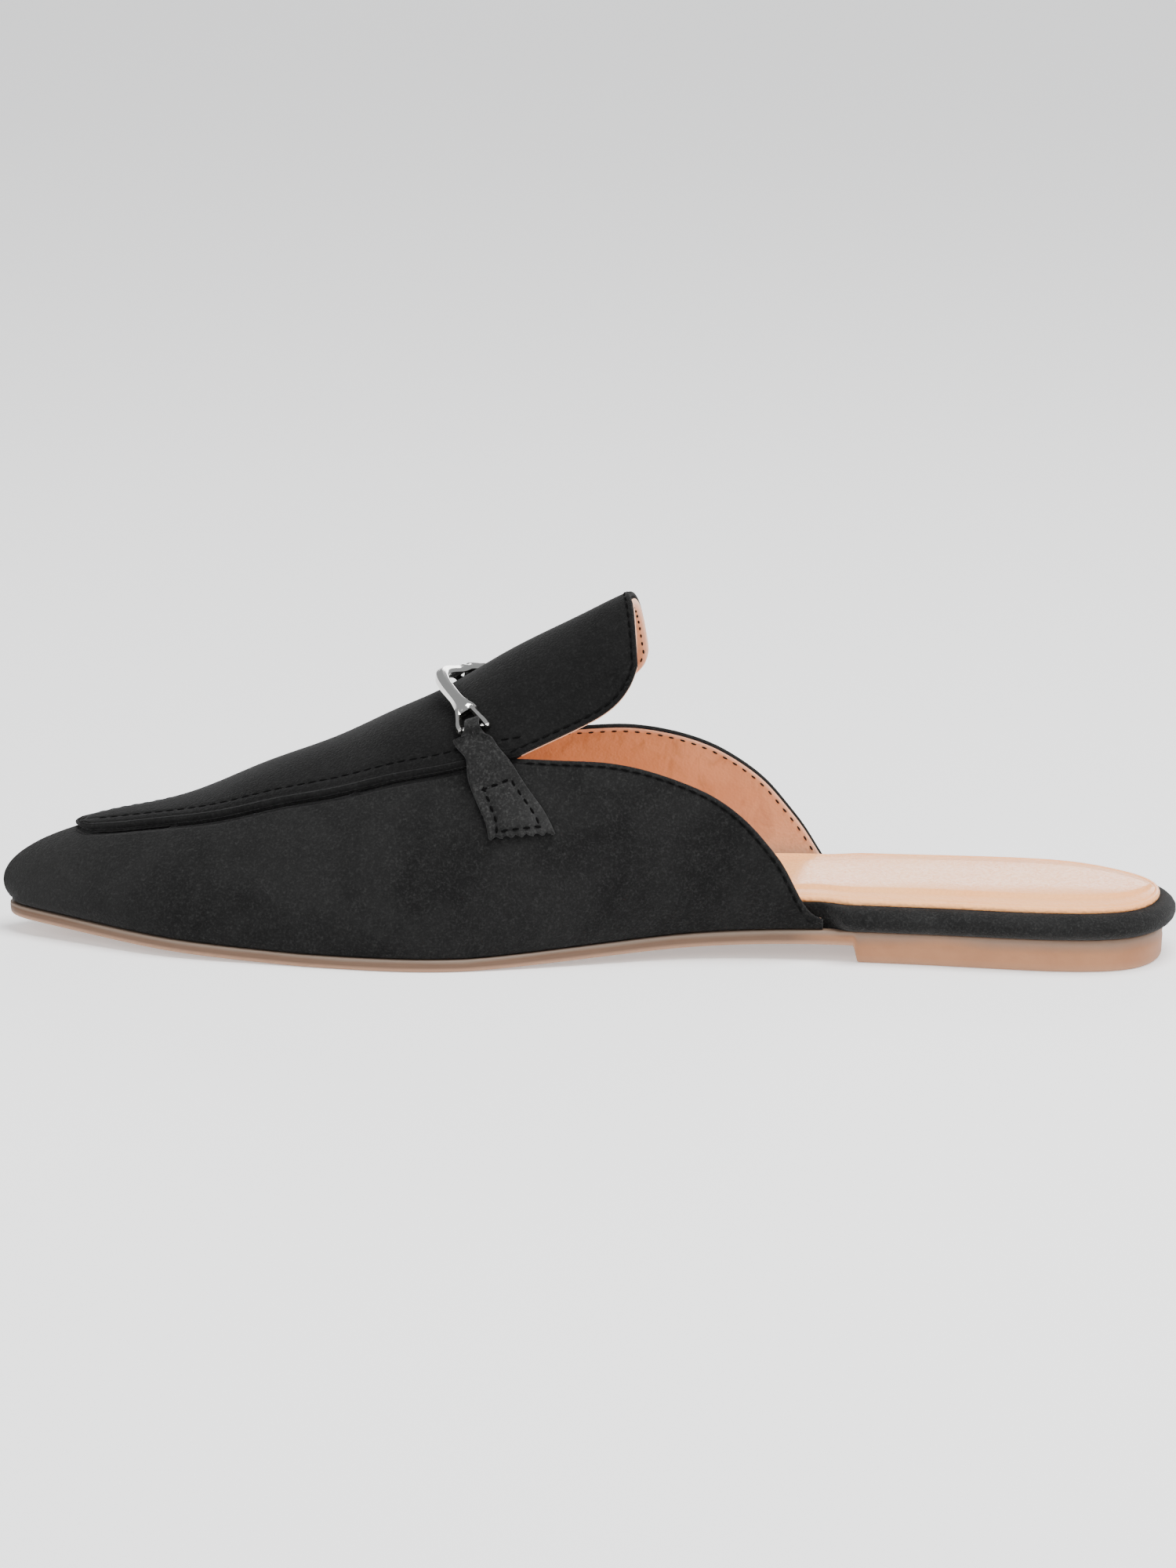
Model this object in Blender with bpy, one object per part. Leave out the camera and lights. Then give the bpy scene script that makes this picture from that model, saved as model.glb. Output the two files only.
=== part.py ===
# Right-foot loafer mule: moulded sole, suede vamp with apron and tongue, sewn straps and a metal bar.
# The toe points to -X, the medial side faces -Y, +Z is up and the floor is z = 0.
# Sizes are written in millimetres and turned into metres when a mesh is made.

import math

import bmesh
import bpy
import numpy as np

# Driving dimensions, in millimetres
soleLength = 262.0
ballWidth = 77.6
instepHeight = 77.4
toeSpring = 4.0
forefootSole = 2.8
waistSole = 3.4
heelSole = 7.6
rimHeight = 5.5
forefootBoard = 2.8
sockThickness = 1.0
wallThickness = 1.7
apronThickness = 1.2
strapThickness = 1.2
barRadius = 1.5
frameRadius = 0.7
clearance = 0.3

# Insets and bulges, in millimetres
featherInset = 0.4
rimBulge = 3.0
sockInset = 3.8
soleEdgeRound = 0.7

medial = -1
lateral = 1

# Plan of the sole: station from the toe in % of its length,
# medial and lateral reach from the toe line in % of the ball width
planRows = [
    (0.0, 0.0, 0.0),
    (0.4, 4.4, 4.5),
    (1.3, 7.6, 8.0),
    (4.0, 13.1, 14.4),
    (9.4, 23.6, 26.2),
    (14.5, 32.0, 35.8),
    (22.0, 38.1, 44.9),
    (31.0, 43.9, 51.4),
    (36.3, 44.9, 54.0),
    (43.5, 39.9, 55.1),
    (53.2, 29.1, 52.3),
    (58.0, 24.2, 50.1),
    (63.4, 21.8, 47.2),
    (72.5, 22.3, 43.0),
    (80.0, 24.9, 41.2),
    (89.0, 29.1, 38.6),
    (93.0, 29.1, 34.5),
    (97.0, 24.4, 24.0),
    (99.0, 15.6, 15.0),
    (100.0, -0.6, 0.6),
]

# Ridge of the last from just above the toe's feather edge to behind the tongue:
# station in % of the length, height in % of the instep height
ridgeRows = [
    (-0.45, 12.0),
    (-0.65, 15.5),
    (-0.35, 18.8),
    (0.35, 21.9),
    (1.6, 25.2),
    (3.3, 28.3),
    (5.6, 31.2),
    (8.4, 33.9),
    (12.6, 36.6),
    (15.7, 39.5),
    (22.1, 48.7),
    (28.5, 56.9),
    (33.4, 65.1),
    (37.2, 71.1),
    (43.0, 83.0),
    (49.9, 95.4),
    (53.3, 101.2),
    (61.0, 108.0),
    (72.0, 111.0),
]

# Line of the ridge beside the toe line: station in %, offset in % of the ball width
ridgeLineRows = [(0.0, 0.0), (12.0, 1.2), (28.0, 3.7), (44.0, 5.5), (56.0, 6.3), (74.0, 5.7)]

# Sections of the last: station in %, exponent of the section's curve,
# bulge of the wall outside the feather edge in mm, medial and lateral
sectionRows = [
    (0.0, 2.25, 1.2, 1.2),
    (10.0, 2.15, 1.0, 1.0),
    (22.0, 2.0, 1.2, 1.4),
    (33.0, 1.9, 1.4, 1.8),
    (44.0, 1.8, 2.2, 2.4),
    (54.0, 1.8, 4.0, 3.2),
    (66.0, 1.8, 4.2, 2.6),
    (74.0, 1.85, 1.6, 1.4),
]

# Topline of the quarters behind the notch: station in %, height in % of the instep height
notchStation = 43.9
toplineRows = {
    medial: [
        (43.9, 59.7),
        (48.7, 59.1),
        (51.4, 58.6),
        (53.6, 57.4),
        (55.8, 55.4),
        (58.1, 52.7),
        (60.4, 49.4),
        (62.7, 44.5),
        (64.2, 40.1),
        (65.8, 34.1),
        (67.1, 28.0),
        (68.2, 20.6),
        (69.2, 14.8),
        (70.4, 12.2),
    ],
    lateral: [
        (43.9, 55.0),
        (50.1, 55.9),
        (52.8, 56.3),
        (55.9, 55.3),
        (59.0, 52.8),
        (61.3, 49.7),
        (62.8, 46.8),
        (64.4, 43.1),
        (66.0, 38.3),
        (67.6, 32.0),
        (69.2, 25.2),
        (70.9, 16.5),
        (71.8, 12.4),
    ],
}

# Edge of the apron in front of the notch: station of the ridge in %, share of the rib's height
apronRows = [
    (5.7, 1.0),
    (6.0, 0.98),
    (6.8, 0.957),
    (8.4, 0.938),
    (11.0, 0.93),
    (13.5, 0.922),
    (16.6, 0.892),
    (19.5, 0.862),
    (24.0, 0.838),
    (30.4, 0.802),
    (37.2, 0.755),
]

# Free edge of the tongue behind the notch: station in %, height in % of the instep height
tongueRows = {
    medial: [(43.9, 59.7), (46.9, 64.2), (50.0, 69.0), (52.2, 73.7), (53.5, 79.2), (54.1, 84.5)],
    lateral: [(43.9, 55.0), (47.0, 60.0), (50.4, 65.5), (53.0, 71.0), (54.6, 76.6), (55.0, 82.0)],
}
tongueTop = 53.4

# Strap tabs on the medial side, from the loop down: front station and turn, rear station and turn
strapRows = [
    (39.0, 0.632, 41.4, 0.603),
    (39.4, 0.575, 42.2, 0.560),
    (39.7, 0.520, 43.1, 0.510),
    (40.0, 0.470, 44.0, 0.460),
    (40.6, 0.415, 45.0, 0.405),
    (41.3, 0.355, 46.3, 0.340),
    (41.5, 0.318, 47.1, 0.288),
]
strapLift = {medial: 0.0, lateral: 0.12}

# Frame at the bar's end: pin from front to rear, the rear prong's shoulder and the fork's apex,
# as station and turn
pinFront = (39.3, 0.655)
pinRear = (41.38, 0.635)
prongShoulder = (41.4, 0.695)
forkApex = (39.2, 0.765)

# Loop of the strap round the pin: distance behind the pin and offset from the last, inside and outside
loopRows = [
    (-1.05, 1.80, -2.20, 1.80),
    (-1.03, 2.50, -2.20, 2.70),
    (-0.74, 3.22, -1.60, 4.00),
    (0.00, 3.55, -0.10, 4.70),
    (0.74, 3.25, 1.20, 4.30),
    (1.30, 2.75, 1.70, 3.80),
]
loopHalfWidth = 0.62

# Middle of the bar over the ridge: station, turn and offset from the last, on each side
barRows = {
    medial: [(39.25, 0.752, 3.0), (38.85, 0.82, 4.1), (38.3, 0.92, 5.0)],
    lateral: [(38.15, 0.975, 5.0), (38.7, 0.93, 4.1), (39.25, 0.872, 3.0)],
}
barCrest = (37.95, 5.1)

# Mesh density
toeRibs = 26
quarterRibs = 15
tongueRibs = 7
wallColumns = 7
topColumns = 6
soleStations = 34


def naturalCubic(xs, ys):
    # Natural cubic through the points, constant beyond its ends
    steps = np.diff(xs)
    slopes = np.diff(ys) / steps
    count = len(xs)
    matrix = np.eye(count)
    right = np.zeros(count)
    for i in range(1, count - 1):
        matrix[i, i - 1] = steps[i - 1]
        matrix[i, i] = 2 * (steps[i - 1] + steps[i])
        matrix[i, i + 1] = steps[i]
        right[i] = 6 * (slopes[i] - slopes[i - 1])
    bends = np.linalg.solve(matrix, right)

    def value(x):
        t = min(max(x, xs[0]), xs[-1])
        i = int(np.clip(np.searchsorted(xs, t) - 1, 0, count - 2))
        h = steps[i]
        a = (xs[i + 1] - t) / h
        b = (t - xs[i]) / h
        curve = ((a ** 3 - a) * bends[i] + (b ** 3 - b) * bends[i + 1]) * h * h / 6
        return a * ys[i] + b * ys[i + 1] + curve

    return value


def tableCurve(rows, column):
    xs = np.array([row[0] for row in rows], float)
    ys = np.array([row[column] for row in rows], float)
    return naturalCubic(xs, ys)


def smoothStep(low, high, x):
    t = min(max((x - low) / (high - low), 0.0), 1.0)
    return t * t * (3 - 2 * t)


def stationOf(x):
    return 100 * x / soleLength + 50


def xOf(station):
    return (station - 50) / 100 * soleLength


# Heights of the sole's layers

def arch(station):
    t = min(max((station - 39.5) / (breastStation - 39.5), 0.0), 1.0)
    tail = max(station - breastStation, 0.0) / (100 - breastStation)
    return 0.92 * math.sin(t * math.pi / 2) ** 1.3 + 0.08 * tail


breastStation = 73.0


def soleTop(x):
    station = stationOf(x)
    spring = toeSpring * max(0.0, 1 - station / 26.5) ** 1.4
    return forefootSole + spring + (heelSole - forefootSole) * arch(station)


def soleBottom(x):
    station = stationOf(x)
    waist = min(max((station - 39.5) / (breastStation - 39.5), 0.0), 1.0)
    under = soleTop(x) - forefootSole - (waistSole - forefootSole) * waist
    return under * (1 - smoothStep(breastStation, breastStation + 0.5, station))


def boardTop(x):
    rise = smoothStep(40.0, 71.0, stationOf(x))
    return soleTop(x) + clearance + forefootBoard + (rimHeight - forefootBoard) * rise


# Plan outline, by the angle that spaces its stations closely at both ends

planAngles = [(math.acos(1 - row[0] / 50), row[1], row[2]) for row in planRows]
reach = {medial: tableCurve(planAngles, 1), lateral: tableCurve(planAngles, 2)}


def angleOf(x):
    return math.acos(min(max(1 - stationOf(x) / 50, -1.0), 1.0))


def outline(side, angle):
    x = -soleLength / 2 * math.cos(angle)
    return np.array([x, side * reach[side](angle) * ballWidth / 100])


def outwardNormal(side, angle):
    before = outline(side, max(angle - 0.01, 0.0))
    after = outline(side, min(angle + 0.01, math.pi))
    tangent = after - before
    if angle < 0.005:
        tangent = np.array([0.0, side])
    if angle > math.pi - 0.005:
        tangent = np.array([0.0, -side])
    normal = side * np.array([-tangent[1], tangent[0]])
    return normal / np.linalg.norm(normal)


def offsetOutline(side, angle, distance):
    return outline(side, angle) + outwardNormal(side, angle) * distance


# Ridge, by its own length from the toe's feather edge

def ridgeCurves():
    toe = xOf(0) + featherInset
    points = [(toe, soleTop(toe) + clearance)]
    points += [(xOf(station), height * instepHeight / 100) for station, height in ridgeRows]
    points = np.array(points)
    lengths = np.concatenate([[0], np.cumsum(np.linalg.norm(np.diff(points, axis=0), axis=1))])
    return lengths[-1], naturalCubic(lengths, points[:, 0]), naturalCubic(lengths, points[:, 1])


ridgeLength, ridgeX, ridgeZ = ridgeCurves()
ridgeSteps = np.linspace(0, ridgeLength, 600)
ridgeXs = np.array([ridgeX(r) for r in ridgeSteps])
frontStep = int(np.argmin(ridgeXs))


def ridgeLengthAt(x):
    return float(np.interp(x, ridgeXs[frontStep:], ridgeSteps[frontStep:]))


ridgeLine = tableCurve(ridgeLineRows, 1)
sectionPower = tableCurve(sectionRows, 1)
sectionBulge = {medial: tableCurve(sectionRows, 2), lateral: tableCurve(sectionRows, 3)}
notchX = xOf(notchStation)


def featherLengths(side):
    angles = np.linspace(0, angleOf(notchX), 300)
    points = np.array([offsetOutline(side, angle, -featherInset) for angle in angles])
    lengths = np.concatenate([[0], np.cumsum(np.linalg.norm(np.diff(points, axis=0), axis=1))])
    return angles, lengths


feather = {side: featherLengths(side) for side in (medial, lateral)}


# A rib runs from the feather edge up to the ridge. Its number is 0 at the toe tip, 1 at the notch,
# and grows behind the notch by the share of the sole's length.

def ribAngle(side, rib):
    if rib > 1:
        return angleOf(notchX + (rib - 1) * soleLength)
    angles, lengths = feather[side]
    return float(np.interp(rib * lengths[-1], lengths, angles))


def ribOf(x):
    return 1 + (x - notchX) / soleLength


def ribRidge(rib):
    if rib > 1:
        length = ridgeLengthAt(notchX + (rib - 1) * soleLength)
    else:
        x = sum(outline(side, ribAngle(side, rib))[0] for side in (medial, lateral)) / 2
        near = rib * 0.5 * (feather[medial][1][-1] + feather[lateral][1][-1])
        blend = smoothStep(0.05, 0.8, rib)
        length = (1 - blend) * near + blend * ridgeLengthAt(x)
    x = ridgeX(length)
    y = ridgeLine(stationOf(x)) * ballWidth / 100
    return np.array([x, y, ridgeZ(length)])


def lastPoint(side, rib, turn):
    # turn goes from 0 at the feather edge to 1 on the ridge
    angle = ribAngle(side, rib)
    foot = offsetOutline(side, angle, -featherInset)
    footZ = soleTop(foot[0]) + clearance
    ridge = ribRidge(rib)
    station = stationOf(foot[0])
    power = 2 / sectionPower(station)
    rise = math.sin(turn * math.pi / 2) ** power
    run = max(math.cos(turn * math.pi / 2), 0.0) ** power
    wall = min(rise / 0.7, 1.0)
    bulge = sectionBulge[side](station) * 6.75 * wall * (1 - wall) ** 2
    bulge *= min(1.0, (ridge[2] - footZ) / 15)
    plan = ridge[:2] + (foot - ridge[:2]) * run + outwardNormal(side, angle) * bulge
    return np.array([plan[0], plan[1], footZ + (ridge[2] - footZ) * rise])


def lastNormal(side, rib, turn):
    if rib < 1e-6:
        return np.array([-1.0, 0.0, 0.0])
    along = lastPoint(side, rib + 0.004, turn) - lastPoint(side, max(rib - 0.004, 0.0), turn)
    if turn > 0.999:
        across = np.array([0.0, -side, 0.0])
    else:
        across = lastPoint(side, rib, min(turn + 0.01, 1)) - lastPoint(side, rib, max(turn - 0.01, 0))
    normal = side * np.cross(across, along)
    if turn < 1e-6:
        normal[2] = 0
    return normal / np.linalg.norm(normal)


def skin(side, rib, turn, offset):
    point = lastPoint(side, rib, turn) + lastNormal(side, rib, turn) * offset
    if turn < 1e-6:
        point[2] = soleTop(point[0]) + clearance
    return point


def turnAtShare(side, rib, share):
    foot = offsetOutline(side, ribAngle(side, rib), -featherInset)
    power = sectionPower(stationOf(foot[0]))
    return math.asin(min(max(share, 0.0), 1.0) ** (power / 2)) * 2 / math.pi


def turnAtHeight(side, rib, height):
    foot = offsetOutline(side, ribAngle(side, rib), -featherInset)
    footZ = soleTop(foot[0]) + clearance
    return turnAtShare(side, rib, (height - footZ) / (ribRidge(rib)[2] - footZ))


# Edge line between the wall and the top: the apron's edge, then the topline

topline = {side: tableCurve(toplineRows[side], 1) for side in (medial, lateral)}


def notchShare(side):
    foot = offsetOutline(side, ribAngle(side, 1), -featherInset)
    footZ = soleTop(foot[0]) + clearance
    return (topline[side](notchStation) * instepHeight / 100 - footZ) / (ribRidge(1)[2] - footZ)


apronShare = {}
for side in (medial, lateral):
    rows = apronRows + [(notchStation, notchShare(side))]
    apronShare[side] = tableCurve(rows, 1)


def edgeTurn(side, rib):
    if rib > 1:
        height = topline[side](stationOf(notchX + (rib - 1) * soleLength)) * instepHeight / 100
        return turnAtHeight(side, rib, height)
    station = stationOf(ribRidge(rib)[0])
    if rib < 0.2 and station < apronRows[0][0]:
        return 1.0
    return turnAtShare(side, rib, apronShare[side](station))


def apronRib():
    # The rib whose ridge point is the front of the apron
    low, high = 0.0, 0.5
    for i in range(40):
        middle = (low + high) / 2
        if stationOf(ribRidge(middle)[0]) < apronRows[0][0] or middle < 0.05:
            low = middle
        else:
            high = middle
    return high


firstApronRib = apronRib()


def ribNumbers():
    front = [firstApronRib * (i / 5) for i in range(5)]
    rest = toeRibs - 5
    back = [firstApronRib + (1 - firstApronRib) * (i / rest) ** 1.15 for i in range(rest + 1)]
    return front + back


def quarterNumbers(side):
    end = ribOf(xOf(toplineRows[side][-1][0]))
    return [1 + (end - 1) * (i / quarterRibs) ** 0.8 for i in range(1, quarterRibs + 1)]


def wallPatch(side):
    patch = []
    for rib in ribNumbers() + quarterNumbers(side):
        edge = edgeTurn(side, rib)
        patch.append([(side, rib, edge * k / wallColumns) for k in range(wallColumns + 1)])
    return patch


def topPatch(side):
    patch = []
    for rib in ribNumbers():
        if rib >= firstApronRib:
            edge = edgeTurn(side, rib)
            patch.append([(side, rib, edge + (1 - edge) * k / topColumns) for k in range(topColumns + 1)])
    return patch


def tonguePatch(side):
    rows = tongueRows[side]
    station = tableCurve([(i, row[0]) for i, row in enumerate(rows)], 1)
    height = tableCurve([(i, row[1]) for i, row in enumerate(rows)], 1)
    patch = []
    for i in range(tongueRibs + 1):
        t = i / tongueRibs * (len(rows) - 1)
        low = ribOf(xOf(station(t)))
        high = 1 + i / tongueRibs * (ribOf(xOf(tongueTop)) - 1)
        edge = turnAtHeight(side, max(low, 1), height(t) * instepHeight / 100)
        if i == 0:
            edge = edgeTurn(side, 1)
        row = []
        for k in range(topColumns + 1):
            w = k / topColumns
            row.append((side, low + (high - low) * w, edge + (1 - edge) * w))
        patch.append(row)
    return patch


# Mesh making

metal = (0.72, 0.71, 0.69, 1)
suede = (0.028, 0.028, 0.028, 1)
tan = (0.75, 0.47, 0.32, 1)
rubber = (0.42, 0.29, 0.2, 1)


def material(name, colour, roughness, metallic=0.0):
    made = bpy.data.materials.new(name)
    made.use_nodes = True
    shader = made.node_tree.nodes["Principled BSDF"]
    shader.inputs["Base Color"].default_value = colour
    shader.inputs["Roughness"].default_value = roughness
    shader.inputs["Metallic"].default_value = metallic
    return made


def addObject(name, points, faces, paint):
    mesh = bpy.data.meshes.new(name)
    mesh.from_pydata([tuple(float(c) * 0.001 for c in p) for p in points], [], faces)
    work = bmesh.new()
    work.from_mesh(mesh)
    bmesh.ops.triangulate(work, faces=work.faces[:])
    bmesh.ops.recalc_face_normals(work, faces=work.faces[:])
    work.to_mesh(mesh)
    work.free()
    mesh.shade_smooth()
    mesh.set_sharp_from_angle(angle=math.radians(40))
    made = bpy.data.objects.new(name, mesh)
    bpy.context.scene.collection.objects.link(made)
    made.data.materials.append(paint)
    return made


def weldedFaces(patches, keyOf):
    # Gives each distinct node one number and drops faces that have shrunk away
    numbers = {}
    nodes = []
    faces = []
    for patch in patches:
        for i in range(len(patch) - 1):
            for k in range(len(patch[i]) - 1):
                corners = (patch[i][k], patch[i][k + 1], patch[i + 1][k + 1], patch[i + 1][k])
                face = []
                for corner in corners:
                    key = keyOf(corner)
                    if key not in numbers:
                        numbers[key] = len(nodes)
                        nodes.append(corner)
                    if numbers[key] not in face:
                        face.append(numbers[key])
                if len(face) > 2:
                    faces.append(face if corners[0][0] == lateral else face[::-1])
    return nodes, faces


def addShell(name, patches, outerOf, innerOf, paint):
    # A sheet between an outer and an inner skin, closed round its border
    def keyOf(node):
        return tuple(np.round(outerOf(node), 3))

    nodes, faces = weldedFaces(patches, keyOf)
    count = len(nodes)
    points = [outerOf(node) for node in nodes] + [innerOf(node) for node in nodes]
    uses = {}
    for face in faces:
        for i in range(len(face)):
            uses.setdefault(frozenset((face[i], face[i - 1])), []).append((face[i - 1], face[i]))
    rim = []
    for users in uses.values():
        if len(users) == 1:
            a, b = users[0]
            rim.append((b, a, a + count, b + count))
    inside = [[n + count for n in face[::-1]] for face in faces]
    return addObject(name, points, faces + inside + rim, paint)


def soleRows():
    angles = [math.pi * i / soleStations for i in range(soleStations + 1)]
    stations = [50 * (1 - math.cos(angle)) for angle in angles]
    stations += [69.0, 70.0, 71.0, 72.0, breastStation, breastStation + 0.25, breastStation + 0.5, 75.0]
    return sorted(stations)


def addSlab(name, levels, spans, crown, paint):
    # Lofts closed sections from toe to heel. A level gives the offset from the outline and the height.
    patch = []
    for station in soleRows():
        angle = math.acos(min(max(1 - station / 50, -1), 1))
        sides = {}
        for side in (medial, lateral):
            sides[side] = []
            for offsetAt, heightAt in levels:
                plan = offsetOutline(side, angle, offsetAt(side, station))
                sides[side].append(np.array([plan[0], plan[1], heightAt(plan[0])]))
        loop = []
        for level, order in ((0, (medial, lateral)), (-1, (lateral, medial))):
            start = sides[order[0]][level]
            end = sides[order[1]][level]
            for k in range(spans + 1):
                w = k / spans
                point = start * (1 - w) + end * w
                if level == -1:
                    point[2] += crown(station) * (1 - (2 * w - 1) ** 2)
                loop.append(point)
            middle = sides[order[1]][1:-1]
            loop += middle if level == 0 else middle[::-1]
        loop.append(loop[0])
        patch.append([tuple(p) for p in loop])

    def keyOf(point):
        return tuple(np.round(point, 4))

    nodes, faces = weldedFaces([patch], keyOf)
    return addObject(name, nodes, faces, paint)


def outsoleLevels():
    return [
        (lambda side, station: -soleEdgeRound, soleBottom),
        (lambda side, station: 0.0, lambda x: soleBottom(x) + soleEdgeRound),
        (lambda side, station: 0.0, soleTop),
    ]


# Rim of the footbed: share of its height, offset outside the outline as a share of the rim's bulge
rimRows = [(0.0, 0.1), (0.18, 0.7), (0.5, 1.0), (0.8, 0.72), (1.0, -0.1)]
insideInset = featherInset + wallThickness + 0.4


def footbedLevels():
    levels = []
    for share, bulge in rimRows:
        def offsetAt(side, station, share=share, bulge=bulge):
            start = toplineRows[side][-1][0] + 0.4 - 1.0 * share
            free = smoothStep(start, start + 2.4, station)
            return -insideInset + (insideInset + bulge * rimBulge) * free

        def heightAt(x, share=share):
            low = soleTop(x) + clearance
            return low + share * (boardTop(x) - low)

        levels.append((offsetAt, heightAt))
    return levels


def sockLevels():
    def edgeAt(side, station):
        start = toplineRows[side][-1][0] - 0.8
        free = smoothStep(start, start + 3.5, station)
        return -(insideInset + 0.9) + (insideInset + 0.9 - sockInset + rimBulge) * free

    def innerEdgeAt(side, station):
        return edgeAt(side, station) - 0.8

    return [
        (edgeAt, lambda x: boardTop(x) + clearance),
        (edgeAt, lambda x: boardTop(x) + clearance + sockThickness * 0.5),
        (innerEdgeAt, lambda x: boardTop(x) + clearance + sockThickness),
    ]


# Straps and bar lie on the last, so their points are given by station, turn and offset

def onLast(side, station, turn, offset):
    return skin(side, ribAtStation(side, station), min(turn, 0.999), offset)


def ribAtStation(side, station):
    x = xOf(station)
    if x >= notchX:
        return ribOf(x)
    low, high = 0.0, 1.0
    for i in range(40):
        middle = (low + high) / 2
        if ribRidge(middle)[0] < x:
            low = middle
        else:
            high = middle
    return high


def turnPerMillimetre(side, station, turn):
    step = 0.02
    a = onLast(side, station, turn - step, 0)
    b = onLast(side, station, turn + step, 0)
    return 2 * step / np.linalg.norm(b - a)


def pinTurn(side, station):
    share = (station - pinFront[0]) / (pinRear[0] - pinFront[0])
    return pinFront[1] + (pinRear[1] - pinFront[1]) * share + strapLift[side]


def strapOffset(side, station, turn):
    # Lies on the apron above its edge and steps down onto the vamp below it
    rib = ribAtStation(side, station)
    edge = edgeTurn(side, rib)
    onApron = smoothStep(edge - 0.06, edge - 0.015, turn)
    return clearance + (apronThickness + clearance) * onApron


def addStrap(name, side):
    middle = (pinFront[0] + pinRear[0]) / 2
    scale = turnPerMillimetre(side, middle, pinTurn(side, middle))
    columns = 4
    outer = []
    inner = []
    for row in loopRows:
        line = ([], [])
        for k in range(columns + 1):
            station = middle + loopHalfWidth * (2 * k / columns - 1)
            pin = pinTurn(side, station)
            line[0].append(onLast(side, station, pin - row[2] * scale, row[3]))
            line[1].append(onLast(side, station, pin - row[0] * scale, row[1]))
        outer.append(line[0])
        inner.append(line[1])
    for index, row in enumerate(strapRows):
        line = ([], [])
        for k in range(columns + 1):
            w = k / columns
            station = row[0] * (1 - w) + row[2] * w
            turn = row[1] * (1 - w) + row[3] * w + strapLift[side]
            low = strapOffset(side, station, turn) + (0.3 if index == 0 else 0.0)
            line[0].append(onLast(side, station, turn, low + strapThickness))
            line[1].append(onLast(side, station, turn, low))
        outer.append(line[0])
        inner.append(line[1])
    patch = [[(lateral, i, k) for k in range(columns + 1)] for i in range(len(outer))]
    return addShell(
        name,
        [patch],
        lambda node: outer[node[1]][node[2]],
        lambda node: inner[node[1]][node[2]],
        suedePaint,
    )


def smoothPath(points, steps):
    points = np.array(points)
    lengths = np.concatenate([[0], np.cumsum(np.linalg.norm(np.diff(points, axis=0), axis=1))])
    curves = [naturalCubic(lengths, points[:, axis]) for axis in range(3)]
    return [np.array([curve(lengths[-1] * i / steps) for curve in curves]) for i in range(steps + 1)]


def roundedLoop(corners):
    # Each corner is cut back and bent in three steps
    path = []
    count = len(corners)
    for i in range(count):
        before = corners[i - 1]
        corner = corners[i]
        after = corners[(i + 1) % count]
        start = corner + (before - corner) / np.linalg.norm(before - corner) * 1.1
        end = corner + (after - corner) / np.linalg.norm(after - corner) * 1.1
        for t in (0.0, 0.5, 1.0):
            path.append(start * (1 - t) ** 2 + corner * 2 * t * (1 - t) + end * t * t)
    return path


def tube(name, path, radius, closed, facets, paint):
    count = len(path)
    rings = []
    normal = np.array([0.0, 0.0, 1.0])
    for i in range(count):
        before = path[i - 1] if closed or i > 0 else path[i]
        after = path[(i + 1) % count] if closed or i < count - 1 else path[i]
        tangent = (after - before) / np.linalg.norm(after - before)
        normal = normal - tangent * float(np.dot(normal, tangent))
        normal /= np.linalg.norm(normal)
        across = np.cross(tangent, normal)
        turns = [2 * math.pi * k / facets for k in range(facets)]
        rings.append([path[i] + (normal * math.sin(a) + across * math.cos(a)) * radius for a in turns])
    points = [point for ring in rings for point in ring]
    faces = []
    for i in range(count if closed else count - 1):
        j = (i + 1) % count
        for k in range(facets):
            n = (k + 1) % facets
            faces.append([i * facets + k, i * facets + n, j * facets + n, j * facets + k])
    if not closed:
        faces.append(list(range(facets)))
        faces.append([(count - 1) * facets + k for k in range(facets)])
    return addObject(name, points, faces, paint)


def addBar():
    pinOffset = clearance * 2 + apronThickness + frameRadius
    crest = onLast(medial, barCrest[0], 0.999, barCrest[1])
    points = [onLast(medial, *row) for row in barRows[medial]] + [crest]
    points += [onLast(lateral, *row) for row in barRows[lateral]]
    bar = tube("bit_bar", smoothPath(points, 18), barRadius, False, 12, metalPaint)
    for side, label in ((medial, "medial"), (lateral, "lateral")):
        corners = [
            onLast(side, forkApex[0], forkApex[1] + strapLift[side], pinOffset + 0.6),
            onLast(side, pinFront[0], pinTurn(side, pinFront[0]), pinOffset),
            onLast(side, pinRear[0], pinTurn(side, pinRear[0]), pinOffset),
            onLast(side, prongShoulder[0], prongShoulder[1] + strapLift[side], pinOffset + 0.3),
        ]
        frame = tube("frame_" + label, roundedLoop(corners), frameRadius, True, 8, metalPaint)
        frame.hide_render = True
        frame.display_type = "WIRE"
        union = bar.modifiers.new("frame " + label, "BOOLEAN")
        union.operation = "UNION"
        union.solver = "EXACT"
        union.object = frame
    return bar


def centreOnFloor(pieces):
    # The frame's origin is the middle of the shoe's box at floor level
    corners = np.array([vertex.co for piece in pieces for vertex in piece.data.vertices])
    middle = (corners.min(axis=0) + corners.max(axis=0)) / 2
    origin = bpy.data.objects.new("shoe", None)
    bpy.context.scene.collection.objects.link(origin)
    origin.location = (-middle[0], -middle[1], 0)
    for made in bpy.data.objects:
        if made.type == "MESH":
            made.parent = origin


for old in list(bpy.data.objects):
    bpy.data.objects.remove(old)

suedePaint = material("charcoal suede", suede, 0.9)
tanPaint = material("tan lining", tan, 0.4)
rubberPaint = material("tan rubber", rubber, 0.6)
metalPaint = material("polished metal", metal, 0.15, 1.0)

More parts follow.
